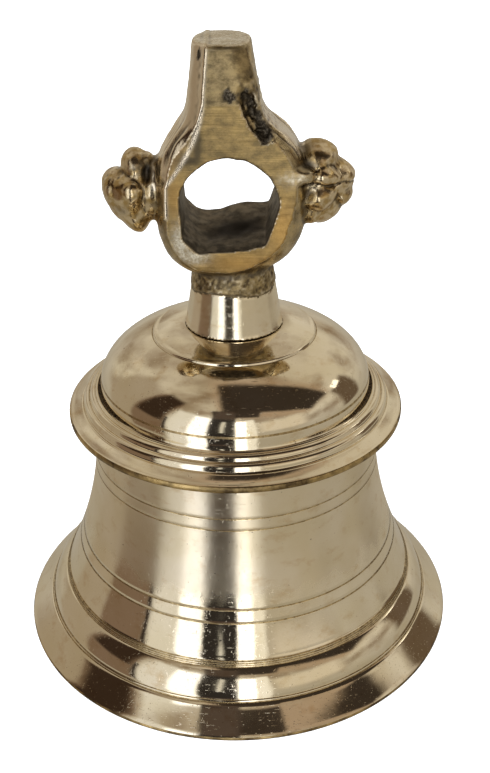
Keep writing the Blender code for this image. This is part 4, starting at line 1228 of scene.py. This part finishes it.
# Clapper
# A forged black iron rod with an eye, a turned iron ball pushed up to the rod's shoulder, and a
# bright nut on the rod's screwed end.
ROD_EYE_WIRE, ROD_EYE_RADIUS = 2.0, 3.9
ROD_RADIUS, ROD_NECK, ROD_SHOULDER, TENON_RADIUS = 3.4, 2.0, 36.6, 2.5
TENON_PITCH, TENON_THREAD, END_NUT_FLATS = 0.8, 0.35, 7.96
BALL_RADIUS, BALL_FLAT = 13.0, 5.0
rod_low, rod_high = (corner.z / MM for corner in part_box("clapper_rod"))
ball_low, ball_high = (corner.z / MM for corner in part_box("clapper_ball"))
end_low, end_high = (corner.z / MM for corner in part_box("clapper_end_nut"))
rod_eye_middle = rod_high - ROD_EYE_WIRE - ROD_EYE_RADIUS
black = dull_metal("black_iron", ((0.030, 0.028, 0.026), (0.085, 0.078, 0.070)), 0.48, 1.8, 0.10,
                   0.85)
shape = bmesh.new()
wire_ring(shape, ring_path(rod_eye_middle, ROD_EYE_RADIUS), ROD_EYE_WIRE - INSET)
rod_top = rod_eye_middle - ROD_EYE_RADIUS
rod_steps = 28
rod_rings = []
for radius, height in ((TENON_RADIUS - 0.1, ROD_SHOULDER), (ROD_RADIUS - 0.5, ROD_SHOULDER),
                       (ROD_RADIUS - INSET, ROD_SHOULDER + 0.5),
                       (ROD_RADIUS - 0.1, ROD_SHOULDER + 6.0), (ROD_RADIUS - 0.35, 48.0),
                       (ROD_RADIUS - 0.7, 54.0), (ROD_NECK + 0.3, rod_top - 1.2),
                       (ROD_NECK, rod_top), (ROD_NECK - 0.5, rod_top + 0.6)):
    rod_rings.append([shape.verts.new((
        radius * math.cos(math.tau * step / rod_steps) * MM,
        radius * math.sin(math.tau * step / rod_steps) * MM, height * MM))
        for step in range(rod_steps)])
for here in range(len(rod_rings) - 1):
    for step in range(rod_steps):
        after = (step + 1) % rod_steps
        face = shape.faces.new((rod_rings[here][step], rod_rings[here][after],
                                rod_rings[here + 1][after], rod_rings[here + 1][step]))
        face.smooth = True
shape.faces.new(rod_rings[0][::-1])
shape.faces.new(rod_rings[-1])
threaded_bar(shape, TENON_RADIUS - 0.03, rod_low, ROD_SHOULDER + 0.2, TENON_PITCH,
             TENON_THREAD)
finished_piece("clapper_rod", shape, black, "clapper", "clapper_rod")

ball_middle = (ball_low + ball_high) / 2
lowest_turn = math.acos(BALL_FLAT / BALL_RADIUS)
ball_outline = [(TENON_RADIUS + 0.25, ball_low, "ball"), (BALL_FLAT - 0.2, ball_low, "ball")]
for step in range(41):
    turn = -lowest_turn + 2 * lowest_turn * step / 40
    ball_outline.append(((BALL_RADIUS - INSET) * math.cos(turn),
                         ball_middle + (BALL_RADIUS - INSET) * math.sin(turn), "ball"))
ball_outline += [(BALL_FLAT - 0.2, ball_high, "ball"), (TENON_RADIUS + 0.25, ball_high, "ball")]
ball = spun_piece("clapper_ball", ball_outline, 96, {"ball": black})
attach(ball, "clapper")
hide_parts("clapper_ball")

shape = bmesh.new()
hexagon_nut(shape, END_NUT_FLATS, TENON_RADIUS + 0.22, end_low, end_high, TENON_PITCH)
finished_piece("end_nut", shape, bright, "clapper", "clapper_end_nut")
